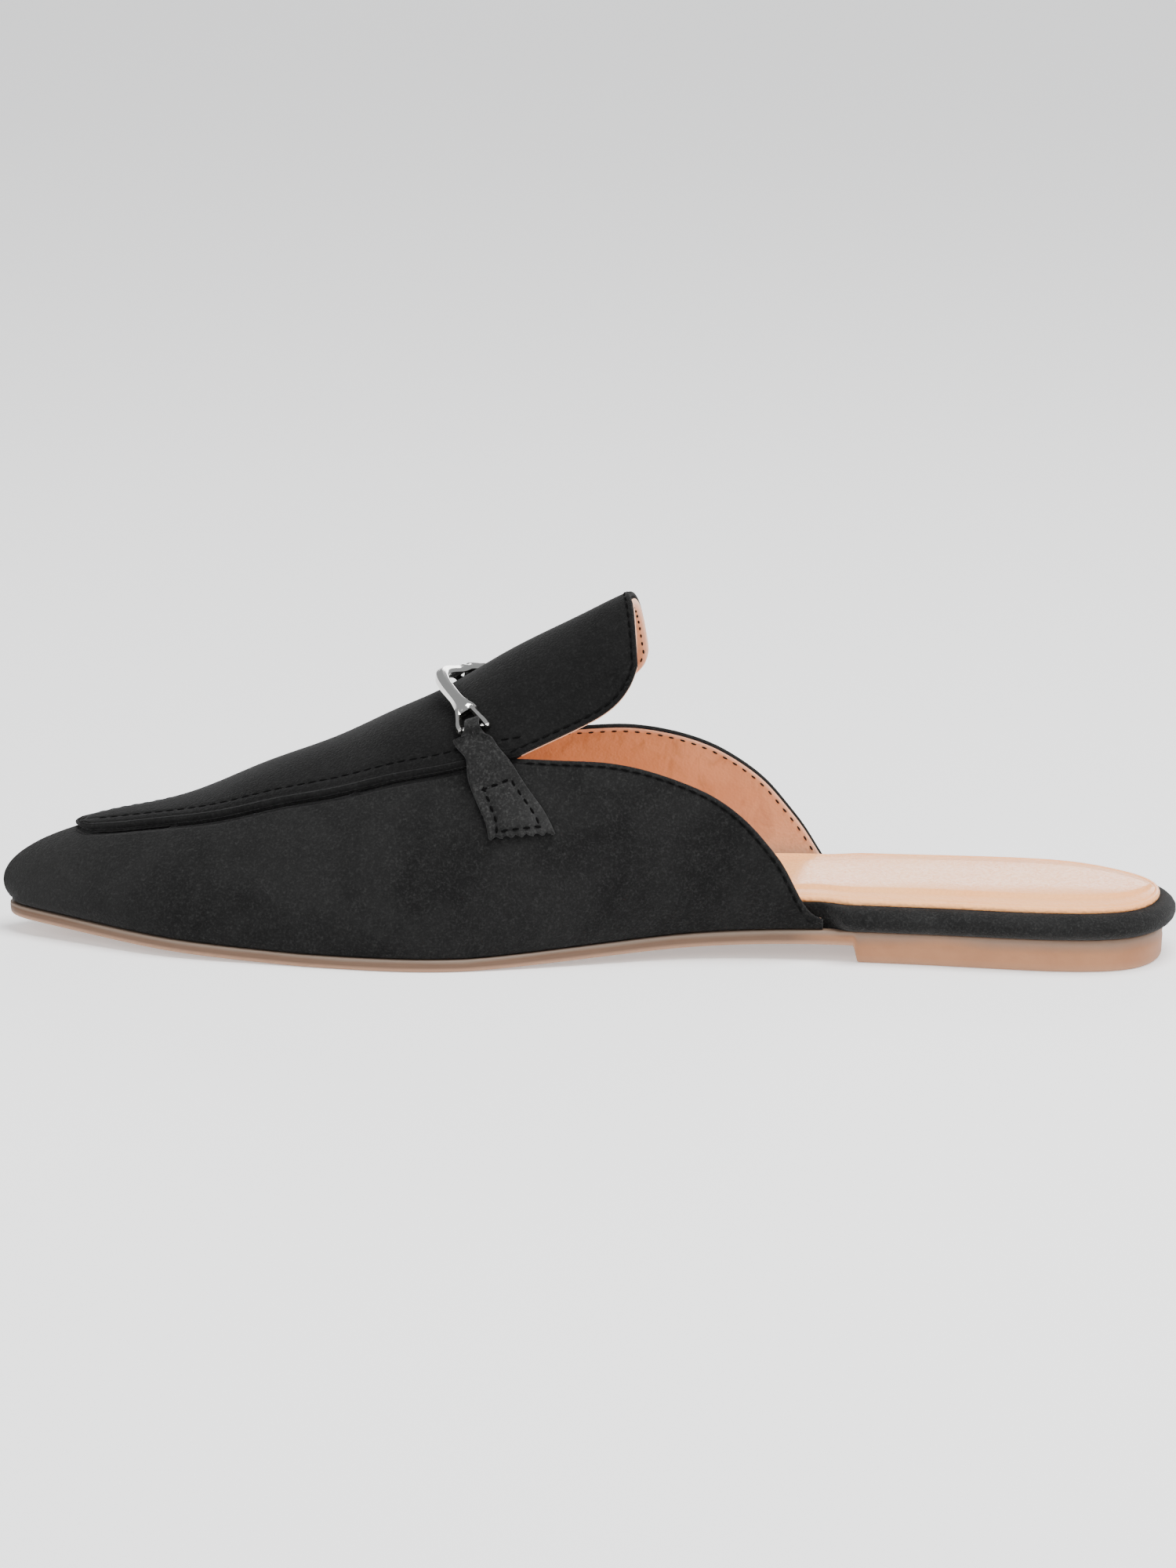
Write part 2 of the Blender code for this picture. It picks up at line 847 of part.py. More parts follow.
outsole = addSlab("outsole", outsoleLevels(), 1, lambda station: 0.0, rubberPaint)
footbed = addSlab("footbed", footbedLevels(), 1, lambda station: 0.0, suedePaint)
sock = addSlab("sock_lining", sockLevels(), 4, lambda station: 0.5 * smoothStep(70, 80, station), tanPaint)

upperPatches = []
for side in (medial, lateral):
    upperPatches += [wallPatch(side), topPatch(side), tonguePatch(side)]
upper = addShell(
    "upper",
    upperPatches,
    lambda node: skin(*node, 0.0),
    lambda node: skin(*node, -wallThickness),
    suedePaint,
)

apronPatches = []
for side in (medial, lateral):
    apronPatches += [topPatch(side), tonguePatch(side)]
apron = addShell(
    "apron",
    apronPatches,
    lambda node: skin(*node, clearance + apronThickness),
    lambda node: skin(*node, clearance),
    suedePaint,
)
strapMedial = addStrap("strap_medial", medial)
strapLateral = addStrap("strap_lateral", lateral)
bar = addBar()
centreOnFloor([outsole, footbed, upper])
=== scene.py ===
import math

import bmesh
import bpy
import numpy as np
from mathutils import Matrix, Vector
from mathutils.bvhtree import BVHTree
from mathutils.kdtree import KDTree


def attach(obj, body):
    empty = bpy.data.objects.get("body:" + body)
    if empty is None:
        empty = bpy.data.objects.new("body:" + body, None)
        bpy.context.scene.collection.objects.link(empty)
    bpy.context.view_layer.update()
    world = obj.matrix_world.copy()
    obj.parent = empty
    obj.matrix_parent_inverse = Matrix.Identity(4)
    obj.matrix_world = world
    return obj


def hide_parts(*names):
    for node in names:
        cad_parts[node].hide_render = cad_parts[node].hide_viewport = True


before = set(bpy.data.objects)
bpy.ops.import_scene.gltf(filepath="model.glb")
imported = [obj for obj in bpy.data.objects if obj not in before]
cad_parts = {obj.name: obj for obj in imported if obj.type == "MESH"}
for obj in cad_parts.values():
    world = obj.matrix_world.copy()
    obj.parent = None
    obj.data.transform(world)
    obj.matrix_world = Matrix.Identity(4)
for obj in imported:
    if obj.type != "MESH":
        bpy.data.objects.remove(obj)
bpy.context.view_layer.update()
print("CAD frame loaded")

medial = -1
lateral = 1
bothSides = (medial, lateral)

# The last in millimetres, before it is moved to the middle of its box
lastShape = {
    "length": 262.0,
    "ballWidth": 77.6,
    "instepHeight": 77.4,
    "toeSpring": 4.0,
    "forefootSole": 2.8,
    "waistSole": 3.4,
    "heelSole": 7.6,
    "clearance": 0.3,
    "featherInset": 0.4,
    "notchStation": 43.9,
    "springEnd": 26.5,
    "springPower": 1.4,
    "waistStation": 39.5,
    "archPower": 1.3,
    # shares of the rise up to the breast and behind it
    "archShare": 0.92,
    "tailShare": 0.08,
    "breastStation": 73.0,
    "breastRun": 0.5,
    # share of the wall that bulges, and the height at which it bulges fully
    "bulgeTop": 0.7,
    "bulgeHeight": 15.0,
    # ribs between which the ridge takes over from the toe's curve
    "ridgeBlend": (0.05, 0.8),
    "shift": (-0.6435, -4.1911, 0.0),
    # station from the toe in %, medial and lateral reach in % of the ball width
    "plan": [
        (0.0, 0.0, 0.0), (0.4, 4.4, 4.5), (1.3, 7.6, 8.0), (4.0, 13.1, 14.4), (9.4, 23.6, 26.2),
        (14.5, 32.0, 35.8), (22.0, 38.1, 44.9), (31.0, 43.9, 51.4), (36.3, 44.9, 54.0),
        (43.5, 39.9, 55.1), (53.2, 29.1, 52.3), (58.0, 24.2, 50.1), (63.4, 21.8, 47.2),
        (72.5, 22.3, 43.0), (80.0, 24.9, 41.2), (89.0, 29.1, 38.6), (93.0, 29.1, 34.5),
        (97.0, 24.4, 24.0), (99.0, 15.6, 15.0), (100.0, -0.6, 0.6),
    ],
    # station, height of the ridge in % of the instep height
    "ridge": [
        (-0.45, 12.0), (-0.65, 15.5), (-0.35, 18.8), (0.35, 21.9), (1.6, 25.2), (3.3, 28.3),
        (5.6, 31.2), (8.4, 33.9), (12.6, 36.6), (15.7, 39.5), (22.1, 48.7), (28.5, 56.9),
        (33.4, 65.1), (37.2, 71.1), (43.0, 83.0), (49.9, 95.4), (53.3, 101.2), (61.0, 108.0),
        (72.0, 111.0),
    ],
    # station, ridge's distance from the toe line in % of the ball width
    "ridgeLine": [(0.0, 0.0), (12.0, 1.2), (28.0, 3.7), (44.0, 5.5), (56.0, 6.3), (74.0, 5.7)],
    # station, exponent of the section, bulge of the medial and the lateral wall
    "sections": [
        (0.0, 2.25, 1.2, 1.2), (10.0, 2.15, 1.0, 1.0), (22.0, 2.0, 1.2, 1.4), (33.0, 1.9, 1.4, 1.8),
        (44.0, 1.8, 2.2, 2.4), (54.0, 1.8, 4.0, 3.2), (66.0, 1.8, 4.2, 2.6), (74.0, 1.85, 1.6, 1.4),
    ],
}

# Cut lines of the upper: stations in %, heights in % of the instep height
cutLines = {
    "topline": {
        medial: [
            (43.9, 59.7), (48.7, 59.1), (51.4, 58.6), (53.6, 57.4), (55.8, 55.4), (58.1, 52.7),
            (60.4, 49.4), (62.7, 44.5), (64.2, 40.1), (65.8, 34.1), (67.1, 28.0), (68.2, 20.6),
            (69.2, 14.8), (70.4, 12.2),
        ],
        lateral: [
            (43.9, 55.0), (50.1, 55.9), (52.8, 56.3), (55.9, 55.3), (59.0, 52.8), (61.3, 49.7),
            (62.8, 46.8), (64.4, 43.1), (66.0, 38.3), (67.6, 32.0), (69.2, 25.2), (70.9, 16.5),
            (71.8, 12.4),
        ],
    },
    # station on the ridge, share of the rib's height
    "apron": [
        (5.7, 1.0), (6.0, 0.98), (6.8, 0.957), (8.4, 0.938), (11.0, 0.93), (13.5, 0.922),
        (16.6, 0.892), (19.5, 0.862), (24.0, 0.838), (30.4, 0.802), (37.2, 0.755),
    ],
    "tongue": {
        medial: [(43.9, 59.7), (46.9, 64.2), (50.0, 69.0), (52.2, 73.7), (53.5, 79.2), (54.1, 84.5)],
        lateral: [(43.9, 55.0), (47.0, 60.0), (50.4, 65.5), (53.0, 71.0), (54.6, 76.6), (55.0, 82.0)],
    },
    "tongueTop": 53.4,
}


def splineThrough(xs, ys):
    xs = np.array(xs, float)
    ys = np.array(ys, float)
    steps = np.diff(xs)
    slopes = np.diff(ys) / steps
    count = len(xs)
    matrix = np.eye(count)
    right = np.zeros(count)
    for i in range(1, count - 1):
        matrix[i, i - 1] = steps[i - 1]
        matrix[i, i] = 2 * (steps[i - 1] + steps[i])
        matrix[i, i + 1] = steps[i]
        right[i] = 6 * (slopes[i] - slopes[i - 1])
    bends = np.linalg.solve(matrix, right)

    def value(x):
        t = np.clip(x, xs[0], xs[-1])
        i = np.clip(np.searchsorted(xs, t) - 1, 0, count - 2)
        h = steps[i]
        a = (xs[i + 1] - t) / h
        b = (t - xs[i]) / h
        curve = ((a ** 3 - a) * bends[i] + (b ** 3 - b) * bends[i + 1]) * h * h / 6
        return a * ys[i] + b * ys[i + 1] + curve

    return value


def tableCurve(rows, column):
    return splineThrough([row[0] for row in rows], [row[column] for row in rows])


def smoothStep(low, high, x):
    t = np.clip((x - low) / (high - low), 0.0, 1.0)
    return t * t * (3 - 2 * t)


def unit(vectors):
    return vectors / np.maximum(np.linalg.norm(vectors, axis=-1, keepdims=True), 1e-12)


soleLength = lastShape["length"]
clearance = lastShape["clearance"]


def stationOf(x):
    return 100 * x / soleLength + 50


def xOf(station):
    return (station - 50) / 100 * soleLength


def waistShare(station):
    waist = lastShape["waistStation"]
    return np.clip((station - waist) / (lastShape["breastStation"] - waist), 0.0, 1.0)


def soleTop(x):
    station = stationOf(x)
    breast = lastShape["breastStation"]
    spring = np.maximum(0.0, 1 - station / lastShape["springEnd"]) ** lastShape["springPower"]
    tail = np.maximum(station - breast, 0.0) / (100 - breast)
    bend = np.sin(waistShare(station) * math.pi / 2) ** lastShape["archPower"]
    arch = lastShape["archShare"] * bend + lastShape["tailShare"] * tail
    rise = (lastShape["heelSole"] - lastShape["forefootSole"]) * arch
    return lastShape["forefootSole"] + lastShape["toeSpring"] * spring + rise


def soleBottom(x):
    station = stationOf(x)
    breast = lastShape["breastStation"]
    extra = (lastShape["waistSole"] - lastShape["forefootSole"]) * waistShare(station)
    thickness = lastShape["forefootSole"] + extra
    return (soleTop(x) - thickness) * (1 - smoothStep(breast, breast + lastShape["breastRun"], station))


planAngles = [(math.acos(1 - row[0] / 50), row[1], row[2]) for row in lastShape["plan"]]
reach = {medial: tableCurve(planAngles, 1), lateral: tableCurve(planAngles, 2)}


def angleOf(x):
    return np.arccos(np.clip(1 - stationOf(x) / 50, -1.0, 1.0))


def outline(side, angle):
    angle = np.asarray(angle, float)
    y = side * reach[side](angle) * lastShape["ballWidth"] / 100
    return np.stack([-soleLength / 2 * np.cos(angle), y], -1)


def outwardNormal(side, angle):
    angle = np.asarray(angle, float)
    step = 0.01
    tangent = outline(side, np.minimum(angle + step, math.pi)) - outline(side, np.maximum(angle - step, 0.0))
    # straight across at the toe and the heel
    tangent = np.where((angle < step / 2)[..., None], np.array([0.0, side]), tangent)
    tangent = np.where((angle > math.pi - step / 2)[..., None], np.array([0.0, -side]), tangent)
    return unit(side * np.stack([-tangent[..., 1], tangent[..., 0]], -1))


def offsetOutline(side, angle, distance):
    distance = np.asarray(distance, float)
    return outline(side, angle) + outwardNormal(side, angle) * distance[..., None]


def ridgeCurves():
    toe = xOf(0) + lastShape["featherInset"]
    points = [(toe, soleTop(toe) + clearance)]
    points += [(xOf(s), height * lastShape["instepHeight"] / 100) for s, height in lastShape["ridge"]]
    points = np.array(points, float)
    lengths = np.concatenate([[0], np.cumsum(np.linalg.norm(np.diff(points, axis=0), axis=1))])
    return lengths[-1], splineThrough(lengths, points[:, 0]), splineThrough(lengths, points[:, 1])


ridgeLength, ridgeX, ridgeZ = ridgeCurves()
ridgeSteps = np.linspace(0, ridgeLength, 600)
ridgeXs = ridgeX(ridgeSteps)
frontStep = int(np.argmin(ridgeXs))
ridgeLine = tableCurve(lastShape["ridgeLine"], 1)
sectionPower = tableCurve(lastShape["sections"], 1)
sectionBulge = {medial: tableCurve(lastShape["sections"], 2), lateral: tableCurve(lastShape["sections"], 3)}
notchX = xOf(lastShape["notchStation"])


def featherLengths(side):
    angles = np.linspace(0, angleOf(notchX), 300)
    points = offsetOutline(side, angles, -lastShape["featherInset"])
    lengths = np.concatenate([[0], np.cumsum(np.linalg.norm(np.diff(points, axis=0), axis=1))])
    return angles, lengths


feather = {side: featherLengths(side) for side in bothSides}


def ridgeLengthAt(x):
    return np.interp(x, ridgeXs[frontStep:], ridgeSteps[frontStep:])


# A rib runs from the feather edge, turn 0, to the ridge, turn 1.
# Its number is 0 at the toe and 1 at the notch, and goes on by the share of the length.
def ribAngle(side, rib):
    angles, lengths = feather[side]
    front = np.interp(rib * lengths[-1], lengths, angles)
    return np.where(rib > 1, angleOf(notchX + (rib - 1) * soleLength), front)


def ribOf(x):
    return 1 + (x - notchX) / soleLength


def ribRidge(rib):
    x = sum(outline(side, ribAngle(side, rib))[..., 0] for side in bothSides) / 2
    near = rib * 0.5 * (feather[medial][1][-1] + feather[lateral][1][-1])
    blend = smoothStep(*lastShape["ridgeBlend"], rib)
    front = (1 - blend) * near + blend * ridgeLengthAt(x)
    length = np.where(rib > 1, ridgeLengthAt(notchX + (rib - 1) * soleLength), front)
    x = ridgeX(length)
    y = ridgeLine(stationOf(x)) * lastShape["ballWidth"] / 100
    return np.stack([x, y, ridgeZ(length)], -1)


def lastPoint(side, rib, turn):
    rib, turn = np.broadcast_arrays(np.asarray(rib, float), np.asarray(turn, float))
    angle = ribAngle(side, rib)
    foot = offsetOutline(side, angle, -lastShape["featherInset"])
    footZ = soleTop(foot[..., 0]) + clearance
    ridge = ribRidge(rib)
    station = stationOf(foot[..., 0])
    power = 2 / sectionPower(station)
    rise = np.sin(turn * math.pi / 2) ** power
    run = np.maximum(np.cos(turn * math.pi / 2), 0.0) ** power
    wall = np.minimum(rise / lastShape["bulgeTop"], 1.0)
    # 27 / 4 brings the curve's peak to 1
    bulge = sectionBulge[side](station) * (27 / 4) * wall * (1 - wall) ** 2
    bulge = bulge * np.minimum(1.0, (ridge[..., 2] - footZ) / lastShape["bulgeHeight"])
    plan = ridge[..., :2] + (foot - ridge[..., :2]) * run[..., None]
    plan = plan + outwardNormal(side, angle) * bulge[..., None]
    return np.concatenate([plan, (footZ + (ridge[..., 2] - footZ) * rise)[..., None]], -1)


def lastNormal(side, rib, turn):
    rib, turn = np.broadcast_arrays(np.asarray(rib, float), np.asarray(turn, float))
    ribStep = 0.004
    turnStep = 0.01
    along = lastPoint(side, rib + ribStep, turn) - lastPoint(side, np.maximum(rib - ribStep, 0.0), turn)
    above = lastPoint(side, rib, np.minimum(turn + turnStep, 1))
    across = above - lastPoint(side, rib, np.maximum(turn - turnStep, 0))
    across = np.where((turn > 0.999)[..., None], np.array([0.0, -side, 0.0]), across)
    normal = side * np.cross(across, along)
    normal[..., 2] = np.where(turn < 1e-6, 0.0, normal[..., 2])
    normal = np.where((rib < 1e-6)[..., None], np.array([-1.0, 0.0, 0.0]), normal)
    return unit(normal)


def skin(side, rib, turn, offset):
    rib, turn, offset = np.broadcast_arrays(*(np.asarray(value, float) for value in (rib, turn, offset)))
    point = lastPoint(side, rib, turn) + lastNormal(side, rib, turn) * offset[..., None]
    point[..., 2] = np.where(turn < 1e-6, soleTop(point[..., 0]) + clearance, point[..., 2])
    return point


def turnAtShare(side, rib, share):
    foot = offsetOutline(side, ribAngle(side, rib), -lastShape["featherInset"])
    power = sectionPower(stationOf(foot[..., 0]))
    return np.arcsin(np.clip(share, 0.0, 1.0) ** (power / 2)) * 2 / math.pi


def turnAtHeight(side, rib, height):
    foot = offsetOutline(side, ribAngle(side, rib), -lastShape["featherInset"])
    footZ = soleTop(foot[..., 0]) + clearance
    return turnAtShare(side, rib, (height - footZ) / (ribRidge(rib)[..., 2] - footZ))


topline = {side: tableCurve(cutLines["topline"][side], 1) for side in bothSides}
one = np.array(1.0)


def toplineHeight(side, station):
    return topline[side](station) * lastShape["instepHeight"] / 100


def apronCurve(side):
    foot = offsetOutline(side, ribAngle(side, one), -lastShape["featherInset"])
    footZ = soleTop(foot[0]) + clearance
    share = (toplineHeight(side, lastShape["notchStation"]) - footZ) / (ribRidge(one)[2] - footZ)
    return tableCurve(cutLines["apron"] + [(lastShape["notchStation"], float(share))], 1)


apronShare = {side: apronCurve(side) for side in bothSides}
noseRib = 0.2


def edgeTurn(side, rib):
    rib = np.asarray(rib, float)
    height = toplineHeight(side, stationOf(notchX + (rib - 1) * soleLength))
    back = turnAtHeight(side, np.maximum(rib, 1), height)
    station = stationOf(ribRidge(np.minimum(rib, 1))[..., 0])
    front = turnAtShare(side, np.minimum(rib, 1), apronShare[side](station))
    # ahead of the apron the wall reaches the ridge
    front = np.where((rib < noseRib) & (station < cutLines["apron"][0][0]), 1.0, front)
    return np.where(rib > 1, back, front)


def apronRib():
    # Halving finds the rib whose ridge point is the apron's first
    low, high = 0.0, 0.5
    for i in range(40):
        middle = (low + high) / 2
        ahead = stationOf(ribRidge(np.array(middle))[0]) < cutLines["apron"][0][0]
        if ahead or middle < 0.05:
            low = middle
        else:
            high = middle
    return high


firstApronRib = apronRib()
print("last ready, apron starts at rib", round(firstApronRib, 3))

# Density of the shells; a crowding over 1 sets the lines closer towards the start
density = {
    "noseRibs": 26,
    "vampRibs": 120,
    "vampCrowding": 1.1,
    "quarterRibs": 64,
    "quarterCrowding": 0.8,
    "tongueRibs": 34,
    "wall": 34,
    "wallCrowding": 1.2,
    "top": 34,
    "topCrowding": 1.25,
}


def ribNumbers():
    nose = firstApronRib * np.arange(density["noseRibs"]) / density["noseRibs"]
    t = np.linspace(0, 1, density["vampRibs"] + 1)
    return np.concatenate([nose, firstApronRib + (1 - firstApronRib) * t ** density["vampCrowding"]])


def wallGrid(side):
    end = ribOf(xOf(cutLines["topline"][side][-1][0]))
    t = np.arange(1, density["quarterRibs"] + 1) / density["quarterRibs"]
    ribs = np.concatenate([ribNumbers(), 1 + (end - 1) * t ** density["quarterCrowding"]])
    share = np.linspace(0, 1, density["wall"] + 1)
    share = 1 - (1 - share) ** density["wallCrowding"]
    rib = np.repeat(ribs[:, None], len(share), 1)
    turn = edgeTurn(side, ribs)[:, None] * share[None, :]
    return side, rib, turn


def topShares():
    return np.linspace(0, 1, density["top"] + 1) ** density["topCrowding"]


def topGrid(side):
    ribs = ribNumbers()
    ribs = ribs[ribs >= firstApronRib - 1e-9]
    edge = edgeTurn(side, ribs)[:, None]
    share = topShares()[None, :]
    rib = np.repeat(ribs[:, None], share.shape[1], 1)
    return side, rib, edge + (1 - edge) * share


def tongueGrid(side):
    rows = cutLines["tongue"][side]
    stationAt = splineThrough(range(len(rows)), [row[0] for row in rows])
    heightAt = splineThrough(range(len(rows)), [row[1] for row in rows])
    i = np.arange(density["tongueRibs"] + 1) / density["tongueRibs"]
    t = i * (len(rows) - 1)
    low = np.maximum(ribOf(xOf(stationAt(t))), 1.0)
    high = 1 + i * (ribOf(xOf(cutLines["tongueTop"])) - 1)
    edge = turnAtHeight(side, low, heightAt(t) * lastShape["instepHeight"] / 100)
    edge[0] = edgeTurn(side, one)
    share = topShares()[None, :]
    rib = low[:, None] + (high - low)[:, None] * share
    return side, rib, edge[:, None] + (1 - edge)[:, None] * share


def distanceAlong(points):
    # Length along each row of a grid, from its first column
    steps = np.linalg.norm(np.diff(points, axis=1), axis=-1)
    return np.concatenate([np.zeros((len(points), 1)), np.cumsum(steps, axis=1)], 1)


def placed(points):
    return (np.asarray(points) + np.array(lastShape["shift"])) * 0.001


def waves(points, lengths, seed):
    # Smooth unevenness between -1 and 1, from a few slanted waves
    draw = np.random.default_rng(seed)
    total = np.zeros(points.shape[:-1])
    for size in lengths:
        for i in range(3):
            direction = unit(draw.normal(size=3))
            total += np.sin(points @ direction * 2 * math.pi / size + draw.uniform(0, 6.28))
    return total / (3 * len(lengths))


def troughs(points, lines):
    # Each line: start, end, half width, depth; a positive depth sinks
    total = np.zeros(points.shape[:-1])
    for start, end, width, depth in lines:
        a = np.array(start, float)
        run = np.array(end, float) - a
        t = np.clip(((points - a) @ run) / (run @ run), 0, 1)
        gap = np.linalg.norm(points - a - t[..., None] * run, axis=-1)
        total -= depth * np.exp(-((gap / width) ** 2)) * np.sin(np.clip(t, 0.03, 0.97) * math.pi) ** 0.5
    return total


def weldGrids(grids):
    # Joins grids along equal outer points. A grid is its side, outer and inner points
    # and the step of the rim at which the lining starts.
    outer = np.concatenate([grid[1].reshape(-1, 3) for grid in grids])
    inner = np.concatenate([grid[2].reshape(-1, 3) for grid in grids])
    steps = np.concatenate([np.full(grid[1].shape[0] * grid[1].shape[1], grid[3]) for grid in grids])
    # adding zero turns -0.0 into 0.0, so that equal points meet
    keys = np.round(outer, 2) + 0.0
    first, inverse = np.unique(keys, axis=0, return_index=True, return_inverse=True)[1:]
    inverse = inverse.reshape(-1)
    faces = []
    start = 0
    for grid in grids:
        rows, columns = grid[1].shape[:2]
        index = inverse[start:start + rows * columns].reshape(rows, columns)
        start += rows * columns
        for i in range(rows - 1):
            for k in range(columns - 1):
                face = []
                for corner in (index[i, k], index[i, k + 1], index[i + 1, k + 1], index[i + 1, k]):
                    if corner not in face:
                        face.append(int(corner))
                if len(face) > 2:
                    faces.append(face if grid[0] == lateral else face[::-1])
    return outer[first], inner[first], faces, steps[first]


def makePiece(name, points, faces, slots, paints, values=None):
    mesh = bpy.data.meshes.new(name)
    mesh.from_pydata([tuple(p) for p in placed(points).tolist()], [], faces)
    for paint in paints:
        mesh.materials.append(paint)
    mesh.polygons.foreach_set("material_index", slots)
    for key, numbers in (values or {}).items():
        layer = mesh.attributes.new(key, "FLOAT", "POINT")
        layer.data.foreach_set("value", np.asarray(numbers, np.float32))
    work = bmesh.new()
    work.from_mesh(mesh)
    bmesh.ops.recalc_face_normals(work, faces=work.faces[:])
    work.to_mesh(mesh)
    work.free()
    mesh.shade_smooth()
    made = bpy.data.objects.new(name, mesh)
    bpy.context.scene.collection.objects.link(made)
    return made


rimLook = {
    # the rim is flat at the feather edge, and no seam runs there
    "lowShare": 0.25,
    "lowHeight": 0.05,
    "noSeamGap": 20.0,
    # reach of the rim's roundness into the skins, in radii
    "reach": 2.5,
}


def shellPiece(name, grids, rimShare, rimSteps, paints):
    # Two skins with a border rolled round; the second paint starts at the grid's own rim step
    outer, inner, faces, liningSteps = weldGrids(grids)
    towards = outer - inner
    facing = 0.0
    for face in faces[::7]:
        a, b, c = (outer[n] for n in face[:3])
        facing += float(np.dot(np.cross(b - a, c - b), towards[face[1]]))
    if facing < 0:
        faces = [face[::-1] for face in faces]
    uses = {}
    for face in faces:
        for i in range(len(face)):
            uses.setdefault(frozenset((face[i - 1], face[i])), []).append((face[i - 1], face[i]))
    border = [users[0] for users in uses.values() if len(users) == 1]
    after = {a: b for a, b in border}
    before = {b: a for a, b in border}
    rimPoints = sorted(after)
    thickness = np.linalg.norm(towards, axis=1)
    tree = KDTree(len(rimPoints))
    low = outer[:, 2] - soleTop(outer[:, 0]) < clearance + rimLook["lowHeight"]
    share = np.where(low, rimLook["lowShare"], rimShare)
    outDirection = {}
    for number, n in enumerate(rimPoints):
        tangent = outer[after[n]] - outer[before.get(n, n)]
        direction = np.cross(tangent, towards[n])
        outDirection[n] = direction / max(np.linalg.norm(direction), 1e-9)
        tree.insert(Vector(outer[n]), number)
    tree.balance()
    gaps = np.zeros(len(outer))
    moved = np.zeros((len(outer), 3))
    for n in range(len(outer)):
        place, number, gap = tree.find(Vector(outer[n]))
        edge = rimPoints[number]
        gaps[n] = rimLook["noSeamGap"] if low[edge] else gap
        radius = thickness[edge] / 2 * share[edge]
        moved[n] = -outDirection[edge] * radius * max(0.0, 1 - gap / (rimLook["reach"] * radius))
    count = len(outer)
    points = [*(outer + moved), *(inner + moved)]
    values = [*gaps, *gaps]
    columns = {}
    for n in rimPoints:
        radius = thickness[n] / 2 * share[n]
        middle = (outer[n] + inner[n]) / 2
        column = [n]
        for j in range(1, rimSteps):
            angle = math.pi * j / rimSteps
            column.append(len(points))
            half = towards[n] / 2
            out = outDirection[n] * radius * (math.sin(angle) - 1)
            points.append(middle + half * math.cos(angle) + out)
            values.append(0.0)
        column.append(n + count)
        columns[n] = column
    allFaces = list(faces) + [[n + count for n in face[::-1]] for face in faces]
    slots = [0] * len(faces) + [1] * len(faces)
    for a, b in border:
        for j in range(rimSteps):
            allFaces.append([columns[b][j], columns[a][j], columns[a][j + 1], columns[b][j + 1]])
            slots.append(0 if j < liningSteps[a] else 1)
    return makePiece(name, np.array(points), allFaces, slots, paints, {"edgeGap": values})


# Shader groups

def newGroup(name, inputs, outputs):
    tree = bpy.data.node_groups.new(name, "ShaderNodeTree")
    for label, kind, value in inputs:
        socket = tree.interface.new_socket(label, in_out="INPUT", socket_type=kind)
        socket.default_value = value
    for label, kind in outputs:
        tree.interface.new_socket(label, in_out="OUTPUT", socket_type=kind)
    start = tree.nodes.new("NodeGroupInput")
    end = tree.nodes.new("NodeGroupOutput")
    return tree, start, end


def addNode(tree, kind, settings=None, values=None):
    node = tree.nodes.new(kind)
    for key, value in (settings or {}).items():
        setattr(node, key, value)
    for key, value in (values or {}).items():
        node.inputs[key].default_value = value
    return node


def mathNode(tree, operation, a, b=None):
    node = addNode(tree, "ShaderNodeMath", {"operation": operation})
    for index, value in enumerate((a, b)):
        if value is None:
            continue
        if hasattr(value, "links"):
            tree.links.new(value, node.inputs[index])
        else:
            node.inputs[index].default_value = value
    return node.outputs[0]


def mapRange(tree, value, low, high, toLow=0.0, toHigh=1.0):
    node = addNode(tree, "ShaderNodeMapRange")
    tree.links.new(value, node.inputs["Value"])
    for key, number in (("From Min", low), ("From Max", high), ("To Min", toLow), ("To Max", toHigh)):
        node.inputs[key].default_value = number
    return node.outputs["Result"]


def noiseNode(tree, vector, scale, detail, roughness=0.5, distortion=0.0):
    node = addNode(tree, "ShaderNodeTexNoise", None, {
        "Scale": scale, "Detail": detail, "Roughness": roughness, "Distortion": distortion})
    tree.links.new(vector, node.inputs["Vector"])
    return node.outputs["Fac"]


def mixColour(tree, factor, a, b):
    node = addNode(tree, "ShaderNodeMix", {"data_type": "RGBA"})
    tree.links.new(factor, node.inputs["Factor"])
    for key, value in (("A", a), ("B", b)):
        socket = [s for s in node.inputs if s.name == key and s.type == "RGBA"][0]
        if hasattr(value, "links"):
            tree.links.new(value, socket)
        else:
            socket.default_value = value
    return [s for s in node.outputs if s.type == "RGBA"][0]


